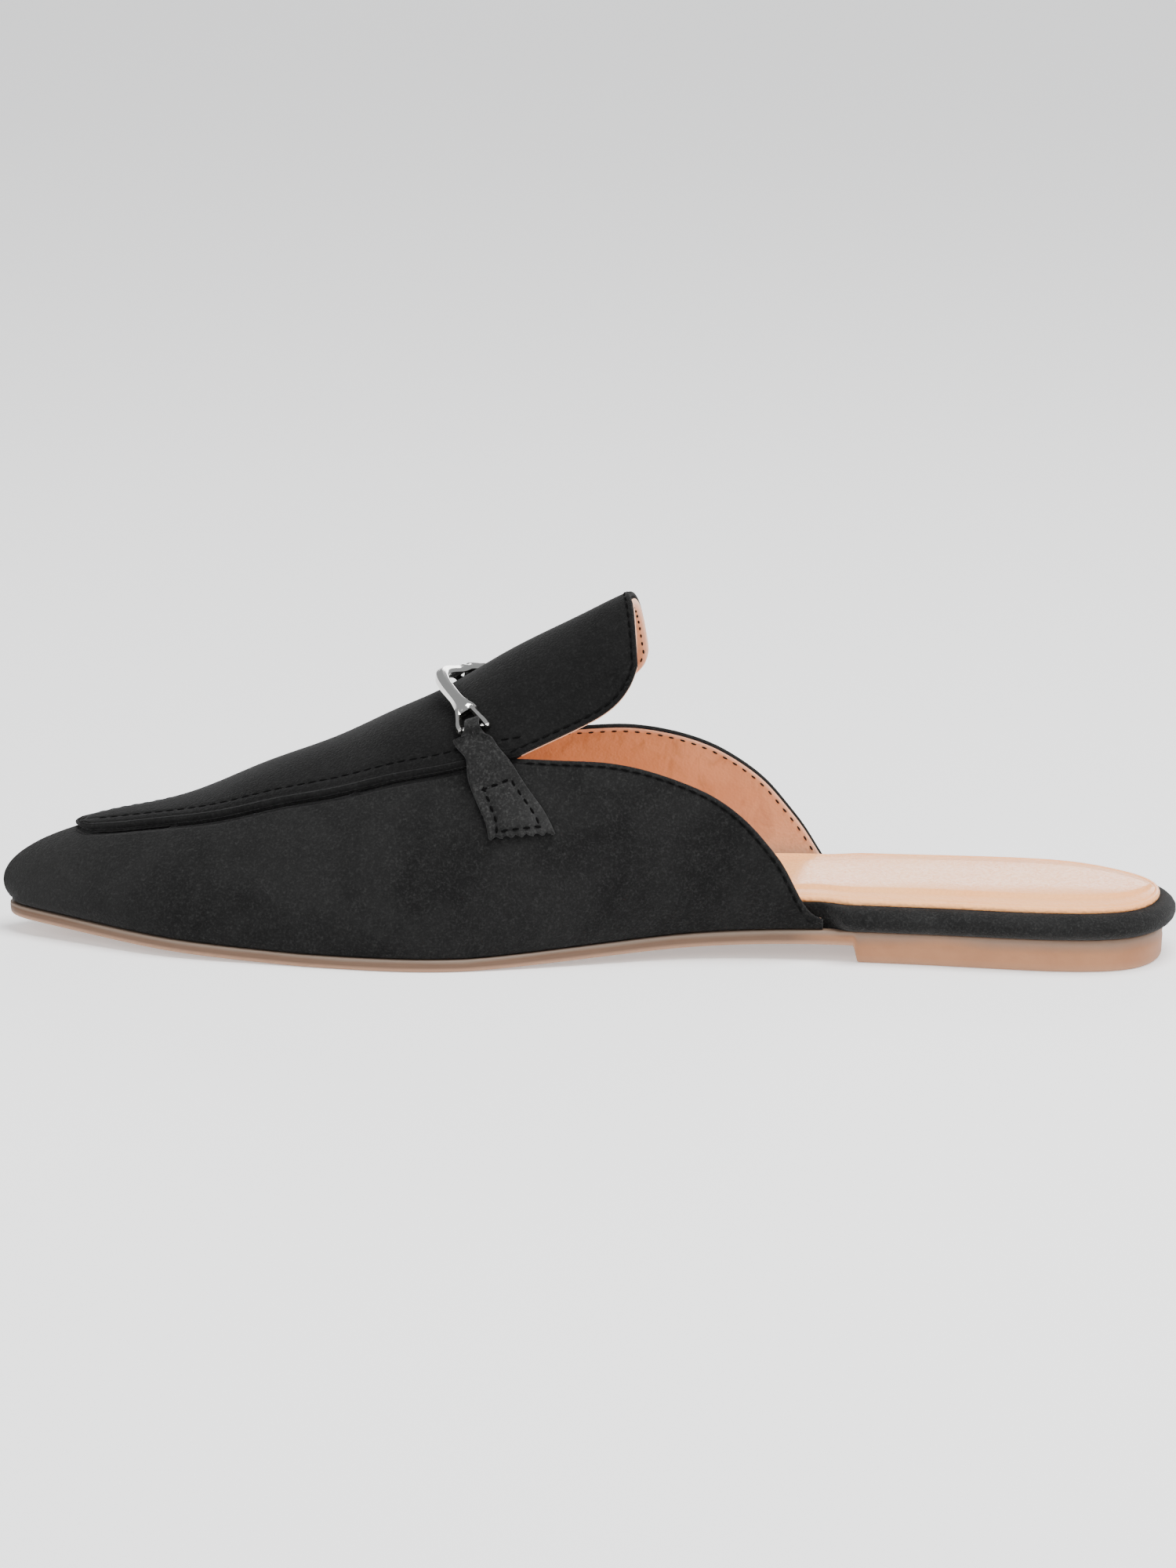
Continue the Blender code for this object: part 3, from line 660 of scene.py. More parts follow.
def napGroup():
    tree, start, end = newGroup("suede nap", [
        ("Vector", "NodeSocketVector", (0, 0, 0)),
        ("Fibre Scale", "NodeSocketFloat", 1500.0),
        ("Smudge Scale", "NodeSocketFloat", 60.0),
    ], [("Fleck", "NodeSocketFloat"), ("Smudge", "NodeSocketFloat"), ("Height", "NodeSocketFloat")])
    vector = start.outputs["Vector"]
    fibre = addNode(tree, "ShaderNodeTexNoise", None, {"Detail": 3.0, "Roughness": 0.65, "Distortion": 0.4})
    tree.links.new(vector, fibre.inputs["Vector"])
    tree.links.new(start.outputs["Fibre Scale"], fibre.inputs["Scale"])
    smudge = addNode(tree, "ShaderNodeTexNoise", None, {"Detail": 3.0, "Roughness": 0.55, "Distortion": 0.8})
    tree.links.new(vector, smudge.inputs["Vector"])
    tree.links.new(start.outputs["Smudge Scale"], smudge.inputs["Scale"])
    clump = mathNode(tree, "MULTIPLY", start.outputs["Fibre Scale"], 0.3)
    tuft = addNode(tree, "ShaderNodeTexNoise", None, {"Detail": 2.0, "Roughness": 0.6})
    tree.links.new(vector, tuft.inputs["Vector"])
    tree.links.new(clump, tuft.inputs["Scale"])
    height = mathNode(tree, "ADD", mathNode(tree, "MULTIPLY", fibre.outputs["Fac"], 0.8),
                      mathNode(tree, "MULTIPLY", tuft.outputs["Fac"], 0.2))
    tree.links.new(mapRange(tree, height, 0.40, 0.66), end.inputs["Fleck"])
    tree.links.new(mapRange(tree, smudge.outputs["Fac"], 0.32, 0.68), end.inputs["Smudge"])
    tree.links.new(height, end.inputs["Height"])
    return tree


def grainGroup():
    tree, start, end = newGroup("leather grain", [
        ("Vector", "NodeSocketVector", (0, 0, 0)),
        ("Pebble Scale", "NodeSocketFloat", 900.0),
    ], [("Pebble", "NodeSocketFloat"), ("Crease", "NodeSocketFloat"), ("Mottle", "NodeSocketFloat")])
    vector = start.outputs["Vector"]
    cells = addNode(tree, "ShaderNodeTexVoronoi", {"feature": "SMOOTH_F1"},
                    {"Smoothness": 0.4, "Randomness": 1.0})
    tree.links.new(vector, cells.inputs["Vector"])
    tree.links.new(start.outputs["Pebble Scale"], cells.inputs["Scale"])
    tree.links.new(mapRange(tree, cells.outputs["Distance"], 0.0, 0.9), end.inputs["Pebble"])
    stretch = addNode(tree, "ShaderNodeMapping", None, {
        "Scale": (1.0, 1.0, 0.35), "Rotation": (0.3, 0.7, 0.2)})
    tree.links.new(vector, stretch.inputs["Vector"])
    crease = noiseNode(tree, stretch.outputs[0], 240.0, 4.0, 0.62, 0.6)
    tree.links.new(crease, end.inputs["Crease"])
    mottle = noiseNode(tree, vector, 45.0, 3.0, 0.5, 0.3)
    tree.links.new(mapRange(tree, mottle, 0.35, 0.65), end.inputs["Mottle"])
    return tree


napTree = napGroup()
grainTree = grainGroup()


def newMaterial(name, settings):
    made = bpy.data.materials.new(name)
    made.use_nodes = True
    shader = made.node_tree.nodes["Principled BSDF"]
    for key, value in settings.items():
        shader.inputs[key].default_value = value
    return made, made.node_tree, shader


def objectVector(tree):
    return addNode(tree, "ShaderNodeTexCoord").outputs["Object"]


def alongAxis(tree, vector, axis):
    place = addNode(tree, "ShaderNodeSeparateXYZ")
    tree.links.new(vector, place.inputs[0])
    return place.outputs[axis]


def useGroup(tree, group, values):
    node = addNode(tree, "ShaderNodeGroup", {"node_tree": group})
    for key, value in values.items():
        if hasattr(value, "links"):
            tree.links.new(value, node.inputs[key])
        else:
            node.inputs[key].default_value = value
    return node


def readValue(tree, name):
    return addNode(tree, "ShaderNodeAttribute", {"attribute_name": name}).outputs["Fac"]


def bumpInto(tree, shader, height, strength, distance):
    bump = addNode(tree, "ShaderNodeBump", None, {"Strength": strength, "Distance": distance})
    tree.links.new(height, bump.inputs["Height"])
    tree.links.new(bump.outputs["Normal"], shader.inputs["Normal"])


suedeLook = {
    "dark": (0.0026, 0.0026, 0.0026),
    "light": (0.0094, 0.0094, 0.0093),
    "fleck": (0.029, 0.029, 0.0285),
    # painted shade colour in the pressed line of stitches
    "seam": (0.0012, 0.0012, 0.0012, 1),
    # painted highlight: the toe is lighter, as where the light falls on it: from and to along the shoe in
    # metres, and how much
    "toeLightFrom": -0.131,
    "toeLightTo": -0.098,
    "toeLight": 0.42,
    # the row of stitches, in millimetres from the edge, and the pressed line round it, which is sunk and
    # darkened by painted shade
    "seamAt": 1.2,
    "seamCore": 0.1,
    "seamHalf": 0.55,
    "seamShade": 0.6,
    "seamSink": 0.45,
}


def lifted(colour, lift):
    return tuple(c * lift for c in colour) + (1,)


def suedeMaterial(name, fibreScale, lift, hasSeam=False):
    made, tree, shader = newMaterial(name, {
        "Roughness": 0.95, "Specular IOR Level": 0.12, "Sheen Weight": 0.09, "Sheen Roughness": 0.4,
        "Sheen Tint": (0.9, 0.9, 0.9, 1)})
    vector = objectVector(tree)
    nap = useGroup(tree, napTree, {"Vector": vector, "Fibre Scale": fibreScale, "Smudge Scale": 55.0})
    dark, light, fleck = (lifted(suedeLook[key], lift) for key in ("dark", "light", "fleck"))
    base = mixColour(tree, mathNode(tree, "MULTIPLY", nap.outputs["Smudge"], 0.75), light, dark)
    strength = mathNode(tree, "MULTIPLY", mathNode(tree, "POWER", nap.outputs["Fleck"], 2.0), 0.55)
    colour = mixColour(tree, strength, base, fleck)
    # painted highlight: the toe is mixed towards the fleck colour
    toeLit = mapRange(tree, alongAxis(tree, vector, "X"), suedeLook["toeLightFrom"], suedeLook["toeLightTo"],
                       suedeLook["toeLight"], 0.0)
    colour = mixColour(tree, toeLit, colour, fleck)
    height = nap.outputs["Height"]
    if hasSeam:
        # the row of stitches presses a line into the nap: the bump sinks it, and painted shade darkens it
        away = mathNode(tree, "SUBTRACT", readValue(tree, "edgeGap"), suedeLook["seamAt"])
        away = mathNode(tree, "ABSOLUTE", away)
        pressed = mapRange(tree, away, suedeLook["seamCore"], suedeLook["seamHalf"], 1.0, 0.0)
        seamShading = mathNode(tree, "MULTIPLY", pressed, suedeLook["seamShade"])
        colour = mixColour(tree, seamShading, colour, suedeLook["seam"])
        sunk = mathNode(tree, "MULTIPLY", pressed, suedeLook["seamSink"])
        height = mathNode(tree, "SUBTRACT", height, sunk)
    tree.links.new(colour, shader.inputs["Base Color"])
    bumpInto(tree, shader, height, 0.6, 0.0006)
    return made


liningLook = {
    "base": (0.65, 0.338, 0.194, 1),
    "light": (0.78, 0.455, 0.278, 1),
    "edge": (0.85, 0.52, 0.36, 1),
    "streak": (0.42, 0.2, 0.11, 1),
}


def liningMaterial():
    made, tree, shader = newMaterial("tan leather lining", {
        "Roughness": 0.5, "Specular IOR Level": 0.4, "Coat Roughness": 0.35})
    grain = useGroup(tree, grainTree, {"Vector": objectVector(tree), "Pebble Scale": 1500.0})
    base = mixColour(tree, grain.outputs["Mottle"], liningLook["base"], liningLook["light"])
    streak = mapRange(tree, grain.outputs["Crease"], 0.52, 0.70, 0.0, 0.45)
    base = mixColour(tree, streak, base, liningLook["streak"])
    edge = mapRange(tree, readValue(tree, "edgeGap"), 0.7, 1.1, 0.85, 0.0)
    tree.links.new(mixColour(tree, edge, base, liningLook["edge"]), shader.inputs["Base Color"])
    pebbles = mathNode(tree, "MULTIPLY", grain.outputs["Pebble"], 0.25)
    height = mathNode(tree, "ADD", pebbles, grain.outputs["Crease"])
    bumpInto(tree, shader, height, 0.35, 0.0006)
    return made


sockLook = {
    "base": (0.96, 0.42, 0.165, 1),
    "light": (0.98, 0.475, 0.20, 1),
    # the seat's gloss, across the shoe in metres: where it starts and where it fades
    "glossStart": (-0.012, -0.004),
    "glossFade": (0.012, 0.026),
    "fadedGloss": 0.35,
    "glossWander": 0.006,
}


def sockMaterial():
    made, tree, shader = newMaterial("glossy tan sock", {
        "Roughness": 0.42, "Specular IOR Level": 0.07, "Coat Roughness": 0.2})
    vector = objectVector(tree)
    grain = useGroup(tree, grainTree, {"Vector": vector, "Pebble Scale": 1150.0})
    base = mixColour(tree, grain.outputs["Mottle"], sockLook["base"], sockLook["light"])
    tree.links.new(base, shader.inputs["Base Color"])
    rough = mapRange(tree, grain.outputs["Mottle"], 0.0, 1.0, 0.36, 0.46)
    tree.links.new(rough, shader.inputs["Roughness"])
    # the middle of the seat is polished, the near strip stays dull
    wander = mathNode(tree, "MULTIPLY", noiseNode(tree, vector, 70.0, 3.0), sockLook["glossWander"])
    across = mathNode(tree, "ADD", alongAxis(tree, vector, "Y"), wander)
    polished = mapRange(tree, across, *sockLook["glossStart"], 0.0, 1.0)
    faded = mapRange(tree, across, *sockLook["glossFade"], 1.0, sockLook["fadedGloss"])
    pebbled = mapRange(tree, grain.outputs["Pebble"], 0.25, 0.7, 0.25, 0.6)
    coat = mathNode(tree, "MULTIPLY", mathNode(tree, "MULTIPLY", polished, faded), pebbled)
    tree.links.new(coat, shader.inputs["Coat Weight"])
    bumpInto(tree, shader, grain.outputs["Pebble"], 0.45, 0.0004)
    return made


rubberLook = {
    "base": (0.35, 0.152, 0.070, 1),
    "light": (0.42, 0.196, 0.094, 1),
    # painted shade: the sole ahead of the heel is darker, where the vamp shades it; along the shoe in metres
    "front": (0.078, 0.049, 0.033, 1),
    "shadedFrontEnds": (0.045, 0.062),
    # painted shade: a grey band along the upper edge, where the upper and the rim shade it; painted
    # highlight: a pale line along the foot; both by share of the side's height
    "shadeBand": (0.19, 0.145, 0.112, 1),
    "shadeBandFrom": (0.78, 1.12),
    "foot": (0.44, 0.255, 0.16, 1),
    "footHighlightUpTo": (0.02, 0.22),
}


def rubberMaterial():
    made, tree, shader = newMaterial("tan rubber", {"Roughness": 0.55, "Specular IOR Level": 0.35})
    vector = objectVector(tree)
    share = readValue(tree, "sideShare")
    mottle = mapRange(tree, noiseNode(tree, vector, 60.0, 4.0, 0.6, 0.4), 0.35, 0.65)
    base = mixColour(tree, mottle, rubberLook["base"], rubberLook["light"])
    # painted shade on the sole ahead of the heel
    front = mapRange(tree, alongAxis(tree, vector, "X"), *rubberLook["shadedFrontEnds"], 0.85, 0.0)
    base = mixColour(tree, front, base, rubberLook["front"])
    # painted shade along the sole's upper edge, under the upper and the rim
    wobble = mathNode(tree, "MULTIPLY", noiseNode(tree, vector, 45.0, 2.0), 0.5)
    shadeBand = mapRange(tree, mathNode(tree, "ADD", share, wobble), *rubberLook["shadeBandFrom"], 0.0, 0.75)
    base = mixColour(tree, shadeBand, base, rubberLook["shadeBand"])
    # painted highlight along the sole's foot
    foot = mapRange(tree, share, *rubberLook["footHighlightUpTo"], 0.65, 0.0)
    base = mixColour(tree, foot, base, rubberLook["foot"])
    tree.links.new(base, shader.inputs["Base Color"])
    height = noiseNode(tree, vector, 700.0, 3.0, 0.6)
    bumpInto(tree, shader, height, 0.25, 0.0003)
    return made


def metalMaterial():
    made, tree, shader = newMaterial("polished nickel", {
        "Base Color": (0.74, 0.73, 0.70, 1), "Metallic": 1.0, "Roughness": 0.12})
    vector = objectVector(tree)
    rough = mapRange(tree, noiseNode(tree, vector, 220.0, 3.0, 0.6), 0.3, 0.7, 0.07, 0.17)
    tree.links.new(rough, shader.inputs["Roughness"])
    bumpInto(tree, shader, noiseNode(tree, vector, 350.0, 2.0), 0.06, 0.0003)
    return made


def threadMaterial(name, dark, light):
    made, tree, shader = newMaterial(name, {"Roughness": 0.9, "Specular IOR Level": 0.08})
    twist = addNode(tree, "ShaderNodeTexWave", {"bands_direction": "DIAGONAL"},
                    {"Scale": 900.0, "Distortion": 0.5})
    tree.links.new(objectVector(tree), twist.inputs["Vector"])
    tree.links.new(mixColour(tree, twist.outputs["Fac"], dark, light), shader.inputs["Base Color"])
    bumpInto(tree, shader, twist.outputs["Fac"], 0.4, 0.0001)
    return made


suedePaint = suedeMaterial("charcoal suede", 1900.0, 1.0, hasSeam=True)
apronPaint = suedeMaterial("charcoal suede apron", 1750.0, 0.55, hasSeam=True)
strapPaint = suedeMaterial("charcoal suede strap", 1700.0, 1.9)
rimPaint = suedeMaterial("charcoal suede rim", 2000.0, 1.35)
liningPaint = liningMaterial()
sockPaint = sockMaterial()
rubberPaint = rubberMaterial()
metalPaint = metalMaterial()
blackThread = threadMaterial("black thread", (0.0006, 0.0006, 0.0006, 1), (0.002, 0.002, 0.002, 1))
brownThread = threadMaterial("dark brown thread", (0.012, 0.009, 0.008, 1), (0.03, 0.022, 0.018, 1))
print("materials ready")

# Upper: vamp, quarters and the tongue's lining layer
upperSizes = {
    "wall": 1.7,
    "seamDepth": 0.45,
    "seamWidth": 0.9,
    "unevenness": 0.14,
    "waveLengths": (46.0, 23.0),
    # a short turn over which the width of a turn is measured
    "gaugeTurn": 0.02,
    "rimShare": 0.9,
    "rimSteps": 6,
    # rim steps that suede covers before the lining starts
    "suedeSteps": 5,
    "tongueSuedeSteps": 2,
}

# start, end, half width and depth in millimetres
vampFolds = [
    ((-38, -31, 34), (-52, -36, 14), 3.4, 0.35),
    ((-24, -33, 30), (-33, -37, 10), 4.0, 0.3),
    ((-66, -25, 24), (-76, -27, 12), 3.0, 0.25),
    ((-20, 38, 34), (-34, 43, 14), 3.6, 0.35),
    ((-48, 36, 26), (-58, 37, 10), 3.4, 0.3),
    ((2, -30, 36), (8, -26, 14), 4.5, 0.3),
    ((18, 38, 36), (24, 39, 16), 4.5, 0.3),
]


def upperOffsets(side, rib, turn, isTop):
    # Unevenness and folds on the wall, and the trough along the apron's edge
    base = lastPoint(side, rib, turn)
    edge = edgeTurn(side, np.minimum(rib, 1))
    gauge = upperSizes["gaugeTurn"]
    above = lastPoint(side, rib, np.maximum(edge, gauge))
    below = lastPoint(side, rib, np.maximum(edge - gauge, 0.0))
    gap = np.abs(edge - turn) * np.linalg.norm(above - below, axis=-1) / gauge
    seam = smoothStep(firstApronRib * 0.9, firstApronRib * 1.2, rib) * (rib <= 1.0 + 1e-9)
    if isTop:
        return -upperSizes["seamDepth"] * seam * (gap < 0.01)
    uneven = waves(base, upperSizes["waveLengths"], 3) * smoothStep(0.02, 0.2, turn)
    offset = upperSizes["unevenness"] * uneven + troughs(base, vampFolds)
    return offset - upperSizes["seamDepth"] * np.exp(-((gap / upperSizes["seamWidth"]) ** 2)) * seam


upperGrids = []
for side in bothSides:
    for maker in (wallGrid, topGrid, tongueGrid):
        side, rib, turn = maker(side)
        steps = upperSizes["suedeSteps"]
        if maker is tongueGrid:
            # the tongue's first row is the apron's last
            offset = np.zeros_like(rib)
            offset[0] = upperOffsets(side, rib[:1], turn[:1], True)[0]
            steps = upperSizes["tongueSuedeSteps"]
        else:
            offset = upperOffsets(side, rib, turn, maker is topGrid)
        inside = skin(side, rib, turn, -upperSizes["wall"])
        upperGrids.append((side, skin(side, rib, turn, offset), inside, steps))
upper = shellPiece("vamp_and_quarters", upperGrids, upperSizes["rimShare"], upperSizes["rimSteps"],
                   [suedePaint, liningPaint])
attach(upper, "root")
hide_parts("upper")
print("upper made,", len(upper.data.polygons), "faces")

# Apron and the tongue's outer layer
apronSizes = {
    "lift": 0.05,
    "thickness": 1.45,
    # gap from the edge, half width and height of the rolled edge, the crease and the stitch groove
    "roll": (0.7, 0.75, 0.22),
    "crease": (1.75, 0.42, 0.22),
    "stitchGap": 4.2,
    "grooveHalfWidth": 0.5,
    "groove": 0.16,
    "unevenness": 0.16,
    "waveLengths": (38.0, 19.0),
    # rows of the tongue over which the roll fades out
    "fadeRows": 5.0,
    "rimShare": 0.85,
    "rimSteps": 6,
}


def ripple(gap, place, halfWidth):
    return np.exp(-(((gap - place) / halfWidth) ** 2))


def apronProfile(gap, fade):
    place, half, height = apronSizes["roll"]
    roll = height * ripple(gap, place, half)
    place, half, depth = apronSizes["crease"]
    crease = depth * ripple(gap, place, half)
    groove = apronSizes["groove"] * ripple(gap, apronSizes["stitchGap"], apronSizes["grooveHalfWidth"])
    return apronSizes["thickness"] + (roll - crease) * fade - groove * fade


apronGrids = []
for side in bothSides:
    for maker in (topGrid, tongueGrid):
        side, rib, turn = maker(side)
        base = lastPoint(side, rib, turn)
        fade = np.ones_like(rib)
        if maker is tongueGrid:
            fade = fade - smoothStep(0.0, apronSizes["fadeRows"], np.arange(len(rib)))[:, None]
        even = apronSizes["unevenness"] * waves(base, apronSizes["waveLengths"], 8)
        offset = apronProfile(distanceAlong(base), fade) + even
        inside = skin(side, rib, turn, apronSizes["lift"])
        apronGrids.append((side, skin(side, rib, turn, offset), inside, apronSizes["rimSteps"]))
apron = shellPiece("apron_and_tongue", apronGrids, apronSizes["rimShare"], apronSizes["rimSteps"],
                   [apronPaint, apronPaint])
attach(apron, "root")
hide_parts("apron")
print("apron made,", len(apron.data.polygons), "faces")

# Sole, footbed and sock are lofts across the foot
loftSizes = {"stations": 150}


def loftStations(extra=()):
    angles = np.linspace(0, math.pi, loftSizes["stations"] + 1)
    return np.unique(np.concatenate([50 * (1 - np.cos(angles)), np.array(extra, float)]))


def loftPiece(name, stations, levels, spans, topShape, paints, levelShares):
    # Walls at each level, from the bottom up, with spans across the bottom and the top.
    # A level is its offset outside the outline and its height.
    angle = np.arccos(np.clip(1 - stations / 50, -1, 1))
    walls = {}
    for side in bothSides:
        walls[side] = []
        for offsetAt, heightAt in levels:
            plan = offsetOutline(side, angle, offsetAt(side, stations))
            walls[side].append(np.concatenate([plan, heightAt(plan[:, 0])[:, None]], 1))
    loop = []
    shares = []
    for level, order in ((0, bothSides), (-1, bothSides[::-1])):
        start = walls[order[0]][level]
        end = walls[order[1]][level]
        for k in range(spans + 1):
            w = k / spans
            point = start * (1 - w) + end * w
            if level == -1:
                side = order[0] if w < 0.5 else order[1]
                rim = walls[side][level]
                gap = np.linalg.norm(point[:, :2] - rim[:, :2], axis=1)
                point[:, 2] += topShape(gap, stations)
            loop.append(point)
            shares.append(levelShares[level])
        middle = walls[order[1]][1:-1]
        middleShares = list(levelShares[1:-1])
        loop += middle if level == 0 else middle[::-1]
        shares += middleShares if level == 0 else middleShares[::-1]
    loop.append(loop[0])
    shares.append(shares[0])
    grid = np.stack(loop, 1)
    share = np.repeat(np.array(shares)[None, :], len(stations), 0)
    marked = np.stack([share, share, share], -1)
    points, marks, faces, steps = weldGrids([(lateral, grid, marked, 0)])
    return makePiece(name, points, faces, [0] * len(faces), paints, {"sideShare": marks[:, 0]})


def flatTop(gap, stations):
    return np.zeros(len(gap))


outsoleSizes = {
    "bottomRadius": 0.9,
    "roundSteps": 3,
    "roundShare": 0.12,
    # share of the side's height and offset outside the outline
    "profile": [(0.3, 0.05), (0.55, 0.12), (0.62, 0.02), (0.8, 0.1), (0.95, 0.05)],
    "topInset": 0.25,
    "spans": 8,
    # extra stations round the breast
    "breastRows": [-0.4, -0.15, 0.0, 0.12, 0.25, 0.38, 0.5, 0.7],
}


def outsoleLevels():
    depth = outsoleSizes["bottomRadius"]
    last = outsoleSizes["roundSteps"]
    levels = []
    shares = []
    for i in range(last + 1):
        angle = math.pi / 2 * i / last
        out = -depth * (1 - math.sin(angle))
        up = depth * (1 - math.cos(angle))
        levels.append((lambda side, s, out=out: out + 0 * s, lambda x, up=up: soleBottom(x) + up))
        shares.append(0.0 if i < last else outsoleSizes["roundShare"])
    for share, out in outsoleSizes["profile"]:
        def heightAt(x, share=share):
            low = soleBottom(x) + depth
            return low + share * (soleTop(x) - low)

        levels.append((lambda side, s, out=out: out + 0 * s, heightAt))
        shares.append(share)
    levels.append((lambda side, s: -outsoleSizes["topInset"] + 0 * s, soleTop))
    shares.append(1.0)
    return levels, shares


breast = lastShape["breastStation"]
soleLevels, soleShares = outsoleLevels()
soleStations = loftStations([breast + row for row in outsoleSizes["breastRows"]])
outsole = loftPiece("moulded_outsole", soleStations, soleLevels, outsoleSizes["spans"], flatTop,
                    [rubberPaint], soleShares)
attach(outsole, "root")
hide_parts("outsole")

footbedSizes = {
    "rimHeight": 5.5,
    "forefootBoard": 2.8,
    "rimBulge": 3.0,
    "insideInset": 2.5,
    # share of the rim's height, offset as a share of the bulge
    "profile": [
        (0.0, 0.1), (0.06, 0.42), (0.15, 0.68), (0.28, 0.88), (0.45, 0.99), (0.6, 0.97),
        (0.74, 0.82), (0.86, 0.56), (0.94, 0.28), (0.985, -0.02), (1.0, -0.3),
    ],
    # stations over which the board rises to the rim's height
    "rise": (40.0, 71.0),
    # stations over which the rim swells behind the quarters
    "swell": 2.4,
    "extraRows": [69, 70, 71, 72, 73, 74],
    "spans": 10,
}


def boardTop(x):
    rise = smoothStep(*footbedSizes["rise"], stationOf(x))
    low = footbedSizes["forefootBoard"]
    return soleTop(x) + clearance + low + (footbedSizes["rimHeight"] - low) * rise


def footbedLevels():
    levels = []
    inset = footbedSizes["insideInset"]
    for share, bulge in footbedSizes["profile"]:
        def offsetAt(side, station, share=share, bulge=bulge):
            start = cutLines["topline"][side][-1][0] + 0.4 - 1.0 * share
            free = smoothStep(start, start + footbedSizes["swell"], station)
            return -inset + (inset + bulge * footbedSizes["rimBulge"]) * free

        def heightAt(x, share=share):
            low = soleTop(x) + clearance * 0.3
            return low + share * (boardTop(x) - low)

        levels.append((offsetAt, heightAt))
    return levels


footbed = loftPiece("suede_footbed", loftStations(footbedSizes["extraRows"]), footbedLevels(),
                    footbedSizes["spans"], flatTop, [rimPaint], [row[0] for row in footbedSizes["profile"]])
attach(footbed, "root")
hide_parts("footbed")

sockSizes = {
    "thickness": 1.0,
    "inset": 3.8,
    # how far the sock is sunk in the board's clearance
    "sunk": 0.25,
    "insideGap": 0.9,
    # stations over which the edge moves out behind the quarters
    "ahead": 0.8,
    "opening": 3.5,
    # offset inside the edge, share of the thickness, share of the side's height
    "profile": [
        (0.15, 0.0, 0.0), (0.0, 0.2, 0.2), (0.0, 0.55, 0.4), (0.12, 0.8, 0.7), (0.4, 0.97, 0.9),
        (0.8, 1.0, 1.0),
    ],
    "extraRows": [69, 70, 71, 72],
    "spans": 72,
    "crown": 0.35,
    "crownStations": (70, 80),
    "crownGap": 9,
    # pressed line just inside the edge: gap, half width, depth
    "lip": (1.2, 0.8, 0.22),
    "padRise": 0.7,
    "padGap": 8.0,
    "padSoft": 2.2,
    "padFrom": 64.0,
    "padRun": 5,
}


def sockLevels():
    inside = footbedSizes["insideInset"] + sockSizes["insideGap"]
    sunk = sockSizes["sunk"]
    thick = sockSizes["thickness"] + sunk

    def edgeAt(side, station):
        start = cutLines["topline"][side][-1][0] - sockSizes["ahead"]
        free = smoothStep(start, start + sockSizes["opening"], station)
        return -inside + (inside - sockSizes["inset"] + footbedSizes["rimBulge"]) * free

    def level(out, up):
        return (lambda side, s: edgeAt(side, s) - out, lambda x: boardTop(x) + clearance + up - sunk)

    return [level(out, share * thick) for out, share, mark in sockSizes["profile"]]


def sockTop(gap, stations):
    crown = sockSizes["crown"] * smoothStep(*sockSizes["crownStations"], stations)
    crown = crown * smoothStep(0, sockSizes["crownGap"], gap)
    place, half, depth = sockSizes["lip"]
    low = sockSizes["padGap"] - sockSizes["padSoft"] / 2
    pad = sockSizes["padRise"] * smoothStep(low, low + sockSizes["padSoft"], gap)
    pad = pad * smoothStep(sockSizes["padFrom"], sockSizes["padFrom"] + sockSizes["padRun"], stations)
    return crown - depth * ripple(gap, place, half) + pad


sock = loftPiece("sock_pad", loftStations(sockSizes["extraRows"]), sockLevels(), sockSizes["spans"], sockTop,
                 [sockPaint], [row[2] for row in sockSizes["profile"]])
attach(sock, "root")
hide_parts("sock_lining")
print("sole, footbed and sock made")

# Straps: two sewn tabs whose upper ends loop round the bar's pins
strapSizes = {
    "thickness": 1.2,
    "loopHalfWidth": 0.62,
    "lift": {medial: 0.0, lateral: 0.12},
    "pinFront": (39.3, 0.655),
    "pinRear": (41.38, 0.635),
    # front station and turn, rear station and turn
    "tab": [
        (39.0, 0.632, 41.4, 0.603), (39.4, 0.575, 42.2, 0.560), (39.7, 0.520, 43.1, 0.510),
        (40.0, 0.470, 44.0, 0.460), (40.6, 0.415, 45.0, 0.405), (41.3, 0.355, 46.3, 0.340),
        (41.5, 0.318, 47.1, 0.288),
    ],
    # distance behind the pin and offset, inside and outside
    "loop": [
        (-1.05, 1.80, -2.20, 1.80), (-1.03, 2.50, -2.20, 2.70), (-0.74, 3.22, -1.60, 4.00),
        (0.00, 3.55, -0.10, 4.70), (0.74, 3.25, 1.20, 4.30), (1.30, 2.75, 1.70, 3.80),
    ],
    "columns": 24,
    "rows": 90,
    # lift of the tab's first row, which comes down from the loop
    "firstLift": 0.3,
    # sewn box: corners as shares of length and width, points on each side
    "boxCorners": [(0.615, 0.24), (0.605, 0.80), (0.955, 0.83), (0.955, 0.14), (0.615, 0.24)],
    "boxPoints": 24,
    "boxRise": 0.42,
    "grooveHalfWidth": 0.55,
    "groove": 0.4,
    # pressed line inside the cut edges: gap, half width, depth
    "edgeLine": (1.0, 0.3, 0.13),
    # the pinked end: waves, how far they cut and how high they lift
    "scallops": 6.5,
    "scallopCut": 0.42,
    "scallopLift": 0.3,
    "scallopRun": 0.035,
    "rimShare": 0.6,
    "rimSteps": 4,
}


def ribAtStation(station):
    wanted = xOf(np.asarray(station, float))
    low = np.zeros_like(wanted)
    high = np.ones_like(wanted)
    for i in range(40):
        middle = (low + high) / 2
        ahead = ribRidge(middle)[..., 0] < wanted
        low = np.where(ahead, middle, low)
        high = np.where(ahead, high, middle)
    return np.where(wanted >= notchX, ribOf(wanted), high)


def onLast(side, station, turn, offset):
    return skin(side, ribAtStation(station), np.minimum(turn, 0.999), offset)


def normalOn(side, station, turn):
    return lastNormal(side, ribAtStation(station), np.minimum(turn, 0.999))


